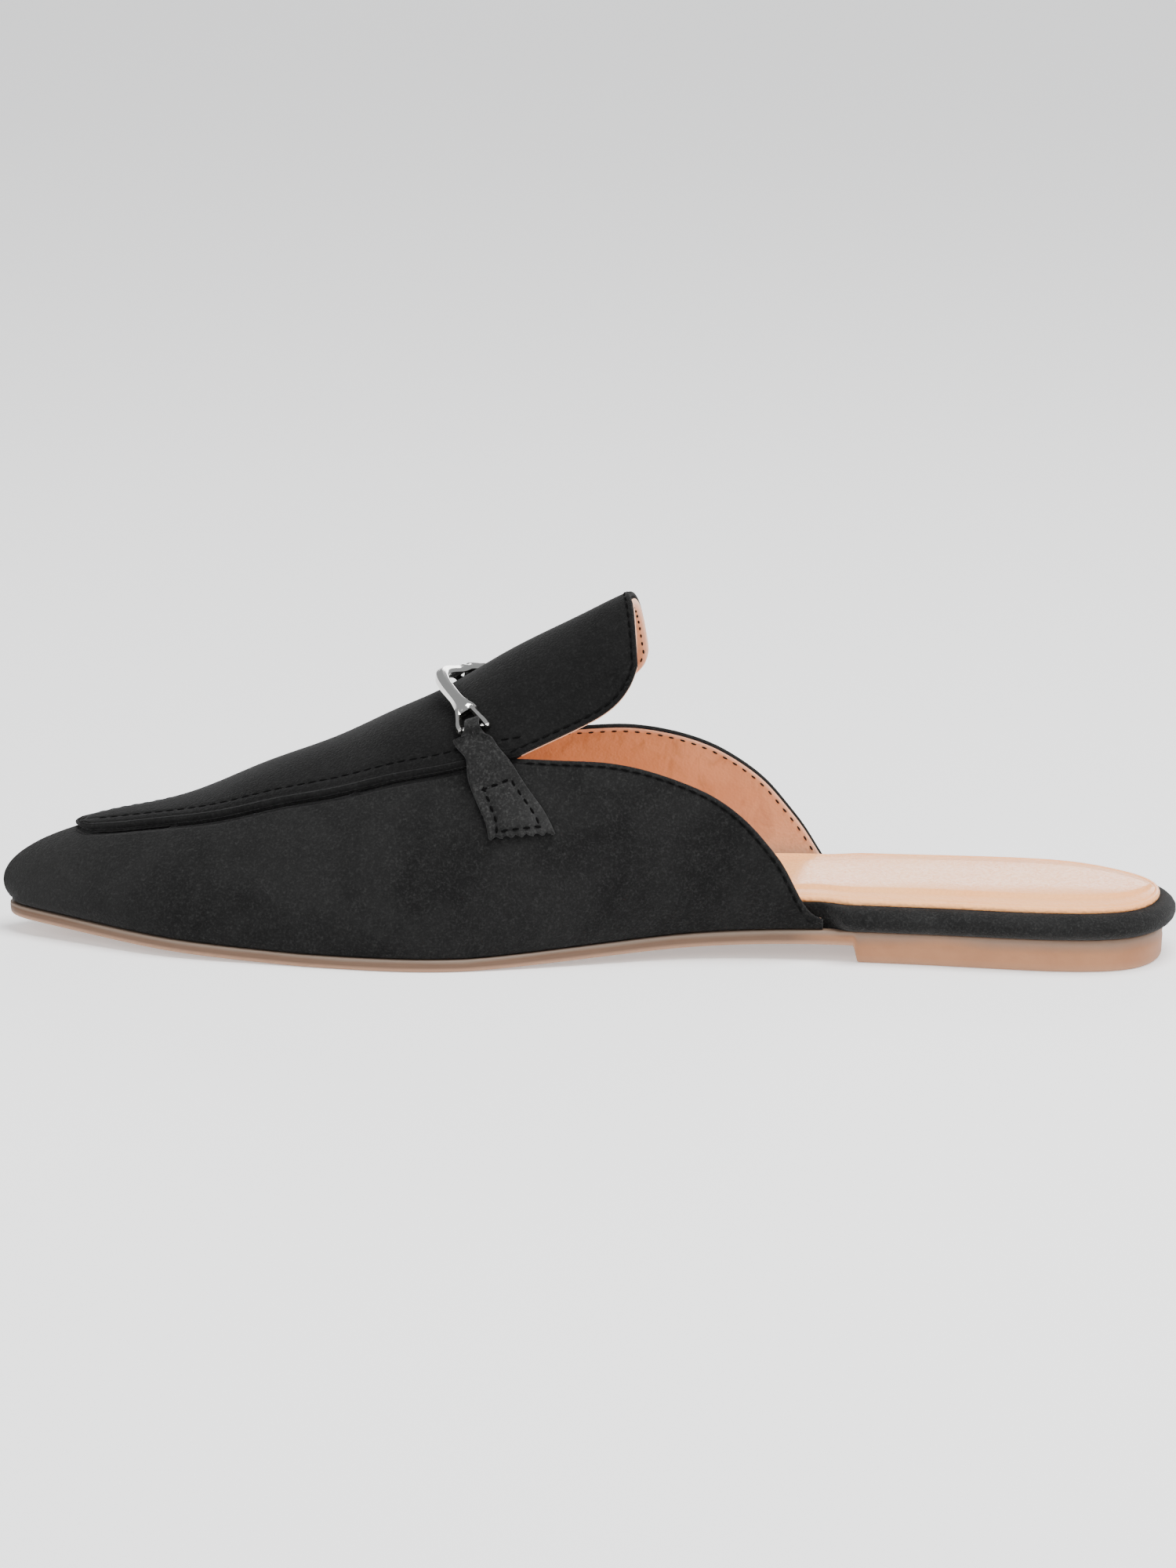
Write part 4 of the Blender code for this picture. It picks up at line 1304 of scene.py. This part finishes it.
def turnPerMillimetre(side, station, turn):
    ends = onLast(side, np.array([station, station]), np.array([turn - 0.02, turn + 0.02]), 0)
    return 0.04 / np.linalg.norm(ends[1] - ends[0])


def pinTurn(side, station):
    front = strapSizes["pinFront"]
    rear = strapSizes["pinRear"]
    share = (station - front[0]) / (rear[0] - front[0])
    return front[1] + (rear[1] - front[1]) * share + strapSizes["lift"][side]


def strapOffset(side, station, turn):
    edge = edgeTurn(side, ribAtStation(station))
    onApron = smoothStep(edge - 0.06, edge - 0.015, turn)
    return 0.1 + (apronSizes["thickness"] + 0.1) * onApron


def strapSkins(side):
    middle = (strapSizes["pinFront"][0] + strapSizes["pinRear"][0]) / 2
    scale = turnPerMillimetre(side, middle, pinTurn(side, middle))
    across = np.linspace(0, 1, strapSizes["columns"] + 1)
    outer = []
    inner = []
    for row in strapSizes["loop"]:
        station = middle + strapSizes["loopHalfWidth"] * (2 * across - 1)
        pin = pinTurn(side, station)
        outer.append(onLast(side, station, pin - row[2] * scale, row[3]))
        inner.append(onLast(side, station, pin - row[0] * scale, row[1]))
    for index, row in enumerate(strapSizes["tab"]):
        station = row[0] * (1 - across) + row[2] * across
        turn = row[1] * (1 - across) + row[3] * across + strapSizes["lift"][side]
        low = strapOffset(side, station, turn) + (strapSizes["firstLift"] if index == 0 else 0.0)
        outer.append(onLast(side, station, turn, low + strapSizes["thickness"]))
        inner.append(onLast(side, station, turn, low))
    return np.array(outer), np.array(inner)


def refined(rows, steps):
    # Spline down the rows of a grid
    middle = rows[:, rows.shape[1] // 2]
    lengths = np.concatenate([[0], np.cumsum(np.linalg.norm(np.diff(middle, axis=0), axis=1))])
    t = np.linspace(0, lengths[-1], steps + 1)
    return np.stack([splineThroughColumns(lengths, rows[..., axis], t) for axis in range(3)], -1)


def splineThroughColumns(lengths, values, t):
    return np.stack([splineThrough(lengths, values[:, k])(t) for k in range(values.shape[1])], 1)


def strapPoint(grid, u, v):
    # Point of a strap's grid at shares of its length and width
    row = u * (grid.shape[0] - 1)
    column = v * (grid.shape[1] - 1)
    i = min(int(row), grid.shape[0] - 2)
    k = min(int(column), grid.shape[1] - 2)
    a, b = row - i, column - k
    top = grid[i, k] * (1 - b) + grid[i, k + 1] * b
    low = grid[i + 1, k] * (1 - b) + grid[i + 1, k + 1] * b
    return top * (1 - a) + low * a


def strapBox(grid):
    # Line of the sewn box
    corners = strapSizes["boxCorners"]
    line = []
    for start, end in zip(corners[:-1], corners[1:]):
        for t in np.linspace(0, 1, strapSizes["boxPoints"], endpoint=False):
            u = start[0] * (1 - t) + end[0] * t
            v = start[1] * (1 - t) + end[1] * t
            line.append(strapPoint(grid, u, v))
    line.append(line[0])
    return np.array(line)


def scallopWave(v):
    return np.sin(v * 2 * math.pi * strapSizes["scallops"])


def strapRelief(outer, inner, seam):
    # The box stands up inside a pressed seam; u runs down the strap, v across it
    u = np.linspace(0, 1, outer.shape[0])[:, None]
    v = np.linspace(0, 1, outer.shape[1])[None, :]
    width = np.linalg.norm(outer[:, -1] - outer[:, 0], axis=1)[:, None]
    edgeGap = np.minimum(v, 1 - v) * width
    gap = np.linalg.norm(outer[:, :, None] - seam[None, None], axis=-1).min(axis=2)
    inBox = smoothStep(0.60, 0.66, u) * smoothStep(0.17, 0.27, v) * smoothStep(0.17, 0.27, 1 - v)
    inBox = inBox * smoothStep(0.03, 0.08, 1 - u)
    groove = strapSizes["groove"] * ripple(gap, 0.0, strapSizes["grooveHalfWidth"])
    relief = strapSizes["boxRise"] * inBox - groove
    place, half, depth = strapSizes["edgeLine"]
    relief = relief - depth * ripple(edgeGap, place, half) * smoothStep(0.3, 0.4, u)
    relief = relief + strapSizes["scallopLift"] * scallopWave(v) * ripple(u, 1.0, strapSizes["scallopRun"])
    return outer + unit(outer - inner) * relief[..., None]


strapTabs = []
for side, label in ((medial, "medial"), (lateral, "lateral")):
    outer, inner = (refined(rows, strapSizes["rows"]) for rows in strapSkins(side))
    seamLine = strapBox(outer)
    outer = strapRelief(outer, inner, seamLine)
    scallop = strapSizes["scallopCut"] * scallopWave(np.linspace(0, 1, outer.shape[1]))
    for grid in (outer, inner):
        grid[-1] += unit(grid[-1] - grid[-4]) * scallop[:, None]
    made = shellPiece("strap_tab_" + label, [(lateral, outer, inner, strapSizes["rimSteps"])],
                      strapSizes["rimShare"], strapSizes["rimSteps"], [strapPaint, strapPaint])
    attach(made, "root")
    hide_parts("strap_" + label)
    strapTabs.append((made, seamLine))
print("straps made")

# Bar: flat-topped, bevelled, forked at both ends round a pin
barSizes = {
    "width": 3.2,
    "height": 2.3,
    "forkWidth": 5.0,
    "prong": 1.55,
    "lug": 1.8,
    "pin": 0.55,
    "crest": (37.95, 5.1),
    # station, turn and offset over the ridge
    "path": {
        medial: [(39.25, 0.752, 3.0), (38.85, 0.82, 4.1), (38.3, 0.92, 5.0)],
        lateral: [(38.15, 0.975, 5.0), (38.7, 0.93, 4.1), (39.25, 0.872, 3.0)],
    },
    "web": (39.95, 0.708, 3.3),
    "steps": 80,
    # shares of the half length between which the bar widens and thins, and how much it thins
    "widens": (0.62, 0.98),
    "thins": (0.88, 1.0),
    "thinning": 0.45,
    # pins: offset over the last, overhang, points, roundness and nominal length
    "pinOffset": 2 * clearance + strapSizes["thickness"] + 0.7,
    "pinOverhang": 0.7,
    "pinPoints": 14,
    "pinRound": 0.4,
    "pinLength": 6.0,
    # prongs: station and turn of their up direction, root behind the web and inside the fork
    "prongUp": (40.3, 0.68),
    "rootBack": 1.6,
    "rootInset": 1.0,
    "tipOut": 0.2,
    "tipDown": 0.9,
    "prongSteps": 26,
    "prongDepth": 1.35,
    # share of a prong where the lug swells, and the share of its rounded root and tip
    "lugFrom": (0.55, 0.75),
    "roundRoot": 0.1,
    "roundTip": 0.12,
    # half section of the bar from its foot to its flat, as shares of width and height
    "bevel": [(0.5, -0.35), (0.5, 0.02), (0.44, 0.16), (0.24, 0.5)],
    "pinSides": 20,
    "pinSquareness": 2.6,
    "sharpAngle": 38,
}


def smoothPath(points, steps):
    points = np.array(points)
    lengths = np.concatenate([[0], np.cumsum(np.linalg.norm(np.diff(points, axis=0), axis=1))])
    t = np.linspace(0, lengths[-1], steps + 1)
    return np.stack([splineThrough(lengths, points[:, axis])(t) for axis in range(3)], 1)


def bevelledSection():
    half = np.array(barSizes["bevel"])
    mirrored = half[::-1] * np.array([-1, 1])
    return np.concatenate([mirrored[-1:], half, mirrored[:-1]])


def pinSection():
    angles = np.linspace(0, 2 * math.pi, barSizes["pinSides"], endpoint=False)
    c, s = np.cos(angles), np.sin(angles)
    power = 2 / barSizes["pinSquareness"]
    return 0.5 * np.stack([np.sign(c) * np.abs(c) ** power, np.sign(s) * np.abs(s) ** power], 1)


def sweep(path, ups, widths, heights, section):
    # Section across the path, its second axis along ups; ends closed
    tangent = unit(np.gradient(path, axis=0))
    across = unit(np.cross(tangent, ups))
    up = unit(np.cross(across, tangent))
    rings = path[:, None] + across[:, None] * section[None, :, :1] * widths[:, None, None]
    rings = rings + up[:, None] * section[None, :, 1:] * heights[:, None, None]
    count = len(section)
    points = rings.reshape(-1, 3)
    faces = []
    for i in range(len(path) - 1):
        for k in range(count):
            n = (k + 1) % count
            faces.append([i * count + k, i * count + n, (i + 1) * count + n, (i + 1) * count + k])
    faces.append(list(range(count))[::-1])
    faces.append([(len(path) - 1) * count + k for k in range(count)])
    return points, faces


def joined(parts):
    points = []
    faces = []
    for partPoints, partFaces in parts:
        start = len(points)
        points += list(partPoints)
        faces += [[n + start for n in face] for face in partFaces]
    return np.array(points), faces


def roundedEnds(count, radius, length):
    # Width profile that closes softly over the last stretch
    t = np.linspace(0, length, count)
    gap = np.minimum(t, length - t)
    return np.sqrt(np.clip(1 - (1 - np.clip(gap / radius, 0, 1)) ** 2, 0.02, 1))


def evenArc(path):
    # One smooth arc near the path
    t = np.linspace(-1, 1, len(path))
    return np.stack([np.polyval(np.polyfit(t, path[:, axis], 4), t) for axis in range(3)], 1)


def barLine():
    # Points and up directions from the medial web over the crest to the lateral one
    rows = []
    for side in bothSides:
        station, turn, offset = barSizes["web"]
        web = (side, station, turn + strapSizes["lift"][side], offset)
        path = [(side, *row) for row in barSizes["path"][side]]
        rows += [web, *path] if side == medial else [*path, web]
        if side == medial:
            station, offset = barSizes["crest"]
            rows.append((medial, station, 0.999, offset))
    points = [onLast(*row) for row in rows]
    ups = [normalOn(side, station, turn) for side, station, turn, offset in rows]
    return points, ups


def barBody():
    steps = barSizes["steps"]
    points, ups = barLine()
    path = evenArc(smoothPath(points, steps))
    # the bar lies in one plane, square to the slope of the instep
    flat = np.stack([np.ones(len(path)), path[:, 1], path[:, 2]], 1)
    lean = np.linalg.lstsq(flat, path[:, 0], rcond=None)[0]
    path[:, 0] = lean[0] + lean[1] * path[:, 1] + lean[2] * path[:, 2]
    up = unit(evenArc(smoothPath(ups, steps)))
    t = np.abs(np.linspace(-1, 1, steps + 1))
    widening = smoothStep(*barSizes["widens"], t)
    width = barSizes["width"] + (barSizes["forkWidth"] - barSizes["width"]) * widening
    height = barSizes["height"] * (1 - barSizes["thinning"] * smoothStep(*barSizes["thins"], t))
    return path, sweep(path, up, width, height, bevelledSection())


def prongPart(root, tip, down, normal):
    path = smoothPath([root, root * 0.5 + tip * 0.5 + normal * 0.15, tip,
                       tip + down * barSizes["tipDown"] - normal * 0.1], barSizes["prongSteps"])
    s = np.linspace(0, 1, len(path))
    size = barSizes["prong"] + (barSizes["lug"] - barSizes["prong"]) * smoothStep(*barSizes["lugFrom"], s)
    tipRun = barSizes["roundTip"]
    rootRun = barSizes["roundRoot"]
    for run in ((s - 1 + tipRun) / tipRun, (rootRun - s) / rootRun):
        size = size * np.sqrt(np.clip(1 - np.clip(run, 0, 1) ** 2, 0.05, 1))
    ups = np.repeat(normal[None, :], len(path), 0)
    return sweep(path, ups, size, size * barSizes["prongDepth"], bevelledSection())


def forkParts(side, path):
    # Two prongs that run down from the web to the ends of a pin
    ends = [onLast(side, strapSizes[key][0], pinTurn(side, strapSizes[key][0]), barSizes["pinOffset"])
            for key in ("pinFront", "pinRear")]
    station, turn = barSizes["prongUp"]
    normal = normalOn(side, station, turn + strapSizes["lift"][side])
    axis = unit(ends[1] - ends[0])
    end, earlier = (path[0], path[8]) if side == medial else (path[-1], path[-9])
    down = unit(end - earlier)
    parts = []
    for sign, pinEnd in zip((-1, 1), ends):
        spread = axis * sign * (barSizes["forkWidth"] / 2 - barSizes["rootInset"])
        root = end - down * barSizes["rootBack"] + spread
        parts.append(prongPart(root, pinEnd + axis * sign * barSizes["tipOut"], down, normal))
    count = barSizes["pinPoints"]
    overhang = axis * barSizes["pinOverhang"]
    pin = np.linspace(ends[0] - overhang, ends[1] + overhang, count)
    size = 2 * barSizes["pin"] * roundedEnds(count, barSizes["pinRound"], barSizes["pinLength"])
    parts.append(sweep(pin, np.repeat(normal[None, :], count, 0), size, size, pinSection()))
    return parts


barPath, body = barBody()
barPoints, barFaces = joined([body, *forkParts(medial, barPath), *forkParts(lateral, barPath)])
bar = makePiece("polished_bar", barPoints, barFaces, [0] * len(barFaces), [metalPaint])
bar.data.set_sharp_from_angle(angle=math.radians(barSizes["sharpAngle"]))
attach(bar, "root")
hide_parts("bit_bar")
print("bar made")

# Stitches: Geometry Nodes sets one thread stitch at each pitch of a path
def stitchTree():
    tree = bpy.data.node_groups.new("stitches along a seam", "GeometryNodeTree")
    tree.interface.new_socket("Geometry", in_out="INPUT", socket_type="NodeSocketGeometry")
    for label, kind, value in (
        ("Pitch", "NodeSocketFloat", 0.0026),
        ("Stitch Length", "NodeSocketFloat", 0.0019),
        ("Thread Width", "NodeSocketFloat", 0.0005),
        ("Unevenness", "NodeSocketFloat", 0.06),
        ("Seed", "NodeSocketInt", 4),
    ):
        socket = tree.interface.new_socket(label, in_out="INPUT", socket_type=kind)
        socket.default_value = value
    tree.interface.new_socket("Thread", in_out="INPUT", socket_type="NodeSocketMaterial")
    tree.interface.new_socket("Geometry", in_out="OUTPUT", socket_type="NodeSocketGeometry")
    start = tree.nodes.new("NodeGroupInput")
    end = tree.nodes.new("NodeGroupOutput")
    link = tree.links.new
    points = addNode(tree, "GeometryNodeCurveToPoints", {"mode": "LENGTH"})
    link(start.outputs["Geometry"], points.inputs["Curve"])
    link(start.outputs["Pitch"], points.inputs["Length"])
    ball = addNode(tree, "GeometryNodeMeshUVSphere", None, {"Segments": 8, "Rings": 6, "Radius": 0.5})
    turn = addNode(tree, "FunctionNodeAlignRotationToVector", {"axis": "Z"})
    link(points.outputs["Tangent"], turn.inputs["Vector"])
    wobble = addNode(tree, "FunctionNodeRandomValue", {"data_type": "FLOAT_VECTOR"})
    amount = tree.nodes.new("ShaderNodeCombineXYZ")
    less = tree.nodes.new("ShaderNodeVectorMath")
    less.operation = "SCALE"
    less.inputs["Scale"].default_value = -1.0
    for key in ("X", "Y", "Z"):
        link(start.outputs["Unevenness"], amount.inputs[key])
    link(amount.outputs[0], less.inputs[0])
    link(less.outputs[0], wobble.inputs["Min"])
    link(amount.outputs[0], wobble.inputs["Max"])
    link(start.outputs["Seed"], wobble.inputs["Seed"])
    tilt = addNode(tree, "FunctionNodeEulerToRotation")
    link(wobble.outputs["Value"], tilt.inputs["Euler"])
    both = addNode(tree, "FunctionNodeRotateRotation", {"rotation_space": "LOCAL"})
    link(turn.outputs["Rotation"], both.inputs["Rotation"])
    link(tilt.outputs["Rotation"], both.inputs["Rotate By"])
    size = tree.nodes.new("ShaderNodeCombineXYZ")
    link(start.outputs["Thread Width"], size.inputs["X"])
    link(start.outputs["Thread Width"], size.inputs["Y"])
    link(start.outputs["Stitch Length"], size.inputs["Z"])
    place = tree.nodes.new("GeometryNodeInstanceOnPoints")
    link(points.outputs["Points"], place.inputs["Points"])
    link(ball.outputs["Mesh"], place.inputs["Instance"])
    link(both.outputs["Rotation"], place.inputs["Rotation"])
    link(size.outputs[0], place.inputs["Scale"])
    real = tree.nodes.new("GeometryNodeRealizeInstances")
    link(place.outputs["Instances"], real.inputs["Geometry"])
    smooth = tree.nodes.new("GeometryNodeSetShadeSmooth")
    link(real.outputs["Geometry"], smooth.inputs["Geometry"])
    paint = tree.nodes.new("GeometryNodeSetMaterial")
    link(smooth.outputs["Geometry"], paint.inputs["Geometry"])
    link(start.outputs["Thread"], paint.inputs["Material"])
    link(paint.outputs["Geometry"], end.inputs["Geometry"])
    return tree


stitches = stitchTree()


def pathObject(name, lines):
    curve = bpy.data.curves.new(name, "CURVE")
    curve.dimensions = "3D"
    for line in lines:
        spline = curve.splines.new("POLY")
        spline.points.add(len(line) - 1)
        for point, place in zip(spline.points, line):
            point.co = (*place, 1.0)
    made = bpy.data.objects.new(name, curve)
    bpy.context.scene.collection.objects.link(made)
    return made


def sewn(name, lines, values, thread):
    path = pathObject(name + "_path", lines)
    rule = path.modifiers.new("stitches", "NODES")
    rule.node_group = stitches
    for item in stitches.interface.items_tree:
        if item.in_out == "INPUT" and item.name in values:
            rule[item.identifier] = values[item.name]
        if item.in_out == "INPUT" and item.name == "Thread":
            rule[item.identifier] = thread
    bpy.context.view_layer.update()
    seen = path.evaluated_get(bpy.context.evaluated_depsgraph_get())
    mesh = bpy.data.meshes.new_from_object(seen)
    path.modifiers.clear()
    bpy.data.objects.remove(path)
    made = bpy.data.objects.new(name, mesh)
    bpy.context.scene.collection.objects.link(made)
    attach(made, "root")
    print(name, len(mesh.polygons), "faces")
    return made


def treeOf(piece):
    mesh = piece.data
    places = [vertex.co.copy() for vertex in mesh.vertices]
    return BVHTree.FromPolygons(places, [tuple(face.vertices) for face in mesh.polygons])


def onSurface(tree, points, lift):
    # Nearest point of a piece's surface, lifted by so many millimetres
    line = []
    for point in points:
        place, normal, index, gap = tree.find_nearest(Vector(point))
        line.append(place + normal * lift * 0.001)
    return line


def insetLine(points, towardsInside, distance):
    # Points moved sideways in the surface, away from an edge
    points = np.asarray(points)
    tangent = unit(np.gradient(points, axis=0))
    inside = np.asarray(towardsInside) - points
    inside = inside - tangent * np.sum(inside * tangent, axis=1, keepdims=True)
    return points + unit(inside) * distance


# Rows of stitches in millimetres: distance from the edge, lift off the surface, height over the last
rowSizes = {
    "suedeInset": 1.2,
    "liningInset": 1.35,
    "lift": 0.02,
    "strapLift": 0.05,
    "apronTop": 1.5,
    "quarterPoints": 160,
    # stations that stay free at the tips of the quarters
    "tipGap": 1.6,
    # the apron's row starts where the apron is wider than its stitch gap by this
    "apronMargin": 3.0,
}


def quarterRow(side, height, inset):
    end = ribOf(xOf(cutLines["topline"][side][-1][0] - rowSizes["tipGap"]))
    ribs = np.linspace(1.0 if side == lateral else 1.012, end, rowSizes["quarterPoints"])
    turns = edgeTurn(side, ribs)
    points = skin(side, ribs, turns, height)
    inside = skin(side, ribs - 0.02, np.maximum(turns - 0.08, 0.001), height)
    return placed(insetLine(points, inside, inset))


def tongueRow(side, height, inset):
    # Round the tongue's border: its long side, then its end
    side, rib, turn = tongueGrid(side)

    def around(column, row):
        along = skin(side, rib[:, column], turn[:, column], height)
        return np.concatenate([along, skin(side, rib[row, 1:-1], turn[row, 1:-1], height)])

    return placed(insetLine(around(0, -1), around(8, -4), inset))


def apronRow(side):
    side, rib, turn = topGrid(side)
    gap = distanceAlong(lastPoint(side, rib, turn))
    away = apronSizes["stitchGap"]
    line = []
    for i in range(len(rib)):
        if gap[i, -1] > away + rowSizes["apronMargin"]:
            line.append(skin(side, rib[i, 0], np.interp(away, gap[i], turn[i]), rowSizes["apronTop"]))
    return placed(np.array(line))


upperTree = treeOf(upper)
apronTree = treeOf(apron)
darkLines = []
tanLines = []
lift = rowSizes["lift"]
inward = -upperSizes["wall"]
for side in bothSides:
    darkLines.append(onSurface(upperTree, quarterRow(side, 0.0, rowSizes["suedeInset"]), lift))
    tanLines.append(onSurface(upperTree, quarterRow(side, inward, rowSizes["liningInset"]), lift))
    tongueEdge = tongueRow(side, rowSizes["apronTop"], rowSizes["suedeInset"])
    darkLines.append(onSurface(apronTree, tongueEdge, lift))
    tanLines.append(onSurface(upperTree, tongueRow(side, inward, rowSizes["liningInset"]), lift))
    darkLines.append(onSurface(apronTree, apronRow(side), 0.0))
strapLines = []
for tab, seamLine in strapTabs:
    strapLines.append(onSurface(treeOf(tab), placed(seamLine), rowSizes["strapLift"]))

seam = {"Pitch": 0.0026, "Stitch Length": 0.0020, "Thread Width": 0.00048, "Unevenness": 0.07, "Seed": 7}
liningSeam = dict(seam, **{"Stitch Length": 0.0013, "Seed": 11})
strapSeam = dict(seam, **{
    "Pitch": 0.0025, "Stitch Length": 0.0016, "Thread Width": 0.0006, "Unevenness": 0.15})
sewn("suede_stitches", darkLines, seam, blackThread)
sewn("lining_stitches", tanLines, liningSeam, brownThread)
sewn("strap_stitches", strapLines, strapSeam, blackThread)
print("stitches sewn")

# Floor, light and camera
floorMesh = bpy.data.meshes.new("studio_floor")
floorMesh.from_pydata([(-9, -6, 0), (9, -6, 0), (9, 12, 0), (-9, 12, 0)], [], [(0, 1, 2, 3)])
floor = bpy.data.objects.new("studio_floor", floorMesh)
bpy.context.scene.collection.objects.link(floor)
floorPaint, floorTree, floorShader = newMaterial("pale floor", {
    "Roughness": 0.7, "Emission Color": (1, 1, 1, 1), "Emission Strength": 0.45})
spread = mapRange(floorTree, noiseNode(floorTree, objectVector(floorTree), 1.5, 2.0), 0.3, 0.7)
floorColour = mixColour(floorTree, spread, (0.86, 0.86, 0.86, 1), (0.88, 0.88, 0.88, 1))
floorTree.links.new(floorColour, floorShader.inputs["Base Color"])
floorMesh.materials.append(floorPaint)

world = bpy.context.scene.world or bpy.data.worlds.new("studio")
bpy.context.scene.world = world
world.use_nodes = True
sky = world.node_tree.nodes["Background"].inputs
sky["Color"].default_value = (0.95, 0.97, 1.0, 1)
sky["Strength"].default_value = 0.4

lightRows = [
    # name, place, aim, width, height, watts
    ("overhead", (0.35, -0.25, 1.3), (0.02, 0, 0), 1.0, 0.9, 38.0),
    ("front", (-0.8, -1.6, 0.9), (0, 0, 0.03), 1.0, 1.0, 16.0),
    ("behind", (0.3, 4.2, 1.1), (0.05, 0, 0.02), 2.6, 0.9, 40.0),
    ("right", (1.4, -0.3, 0.7), (0, 0, 0.03), 0.8, 0.8, 5.0),
]
for name, place, aim, width, height, watts in lightRows:
    light = bpy.data.lights.new(name, "AREA")
    light.shape = "RECTANGLE"
    light.size = width
    light.size_y = height
    light.energy = watts
    lamp = bpy.data.objects.new(name, light)
    bpy.context.scene.collection.objects.link(lamp)
    lamp.location = place
    lamp.rotation_euler = (Vector(aim) - Vector(place)).to_track_quat("-Z", "Y").to_euler()

# Camera as fitted to the photo; its target is in millimetres, angles are in degrees
cameraSizes = {
    "lens": 161.8,
    "distance": 1.6,
    "elevation": 12.5,
    "azimuth": 0.4,
    "roll": 1.0,
    "shiftY": 0.01645,
    "target": [0.0, 1.4, 30.0],
    "clipEnd": 30,
}
target = Vector(placed(cameraSizes["target"]))
elevation = math.radians(cameraSizes["elevation"])
azimuth = math.radians(cameraSizes["azimuth"])
level = math.cos(elevation)
backward = Vector((math.sin(azimuth) * level, -math.cos(azimuth) * level, math.sin(elevation)))
camera = bpy.data.objects.new("photo_camera", bpy.data.cameras.new("photo_camera"))
bpy.context.scene.collection.objects.link(camera)
camera.data.lens = cameraSizes["lens"]
camera.data.shift_y = cameraSizes["shiftY"]
camera.data.clip_end = cameraSizes["clipEnd"]
camera.location = target + backward * cameraSizes["distance"]
right = Vector((0, 0, 1)).cross(backward).normalized()
up = backward.cross(right)
roll = math.radians(cameraSizes["roll"])
rolledRight = right * math.cos(roll) + up * math.sin(roll)
rolledUp = up * math.cos(roll) - right * math.sin(roll)
camera.rotation_euler = Matrix((rolledRight, rolledUp, backward)).transposed().to_euler()
bpy.context.scene.camera = camera
print("studio ready")
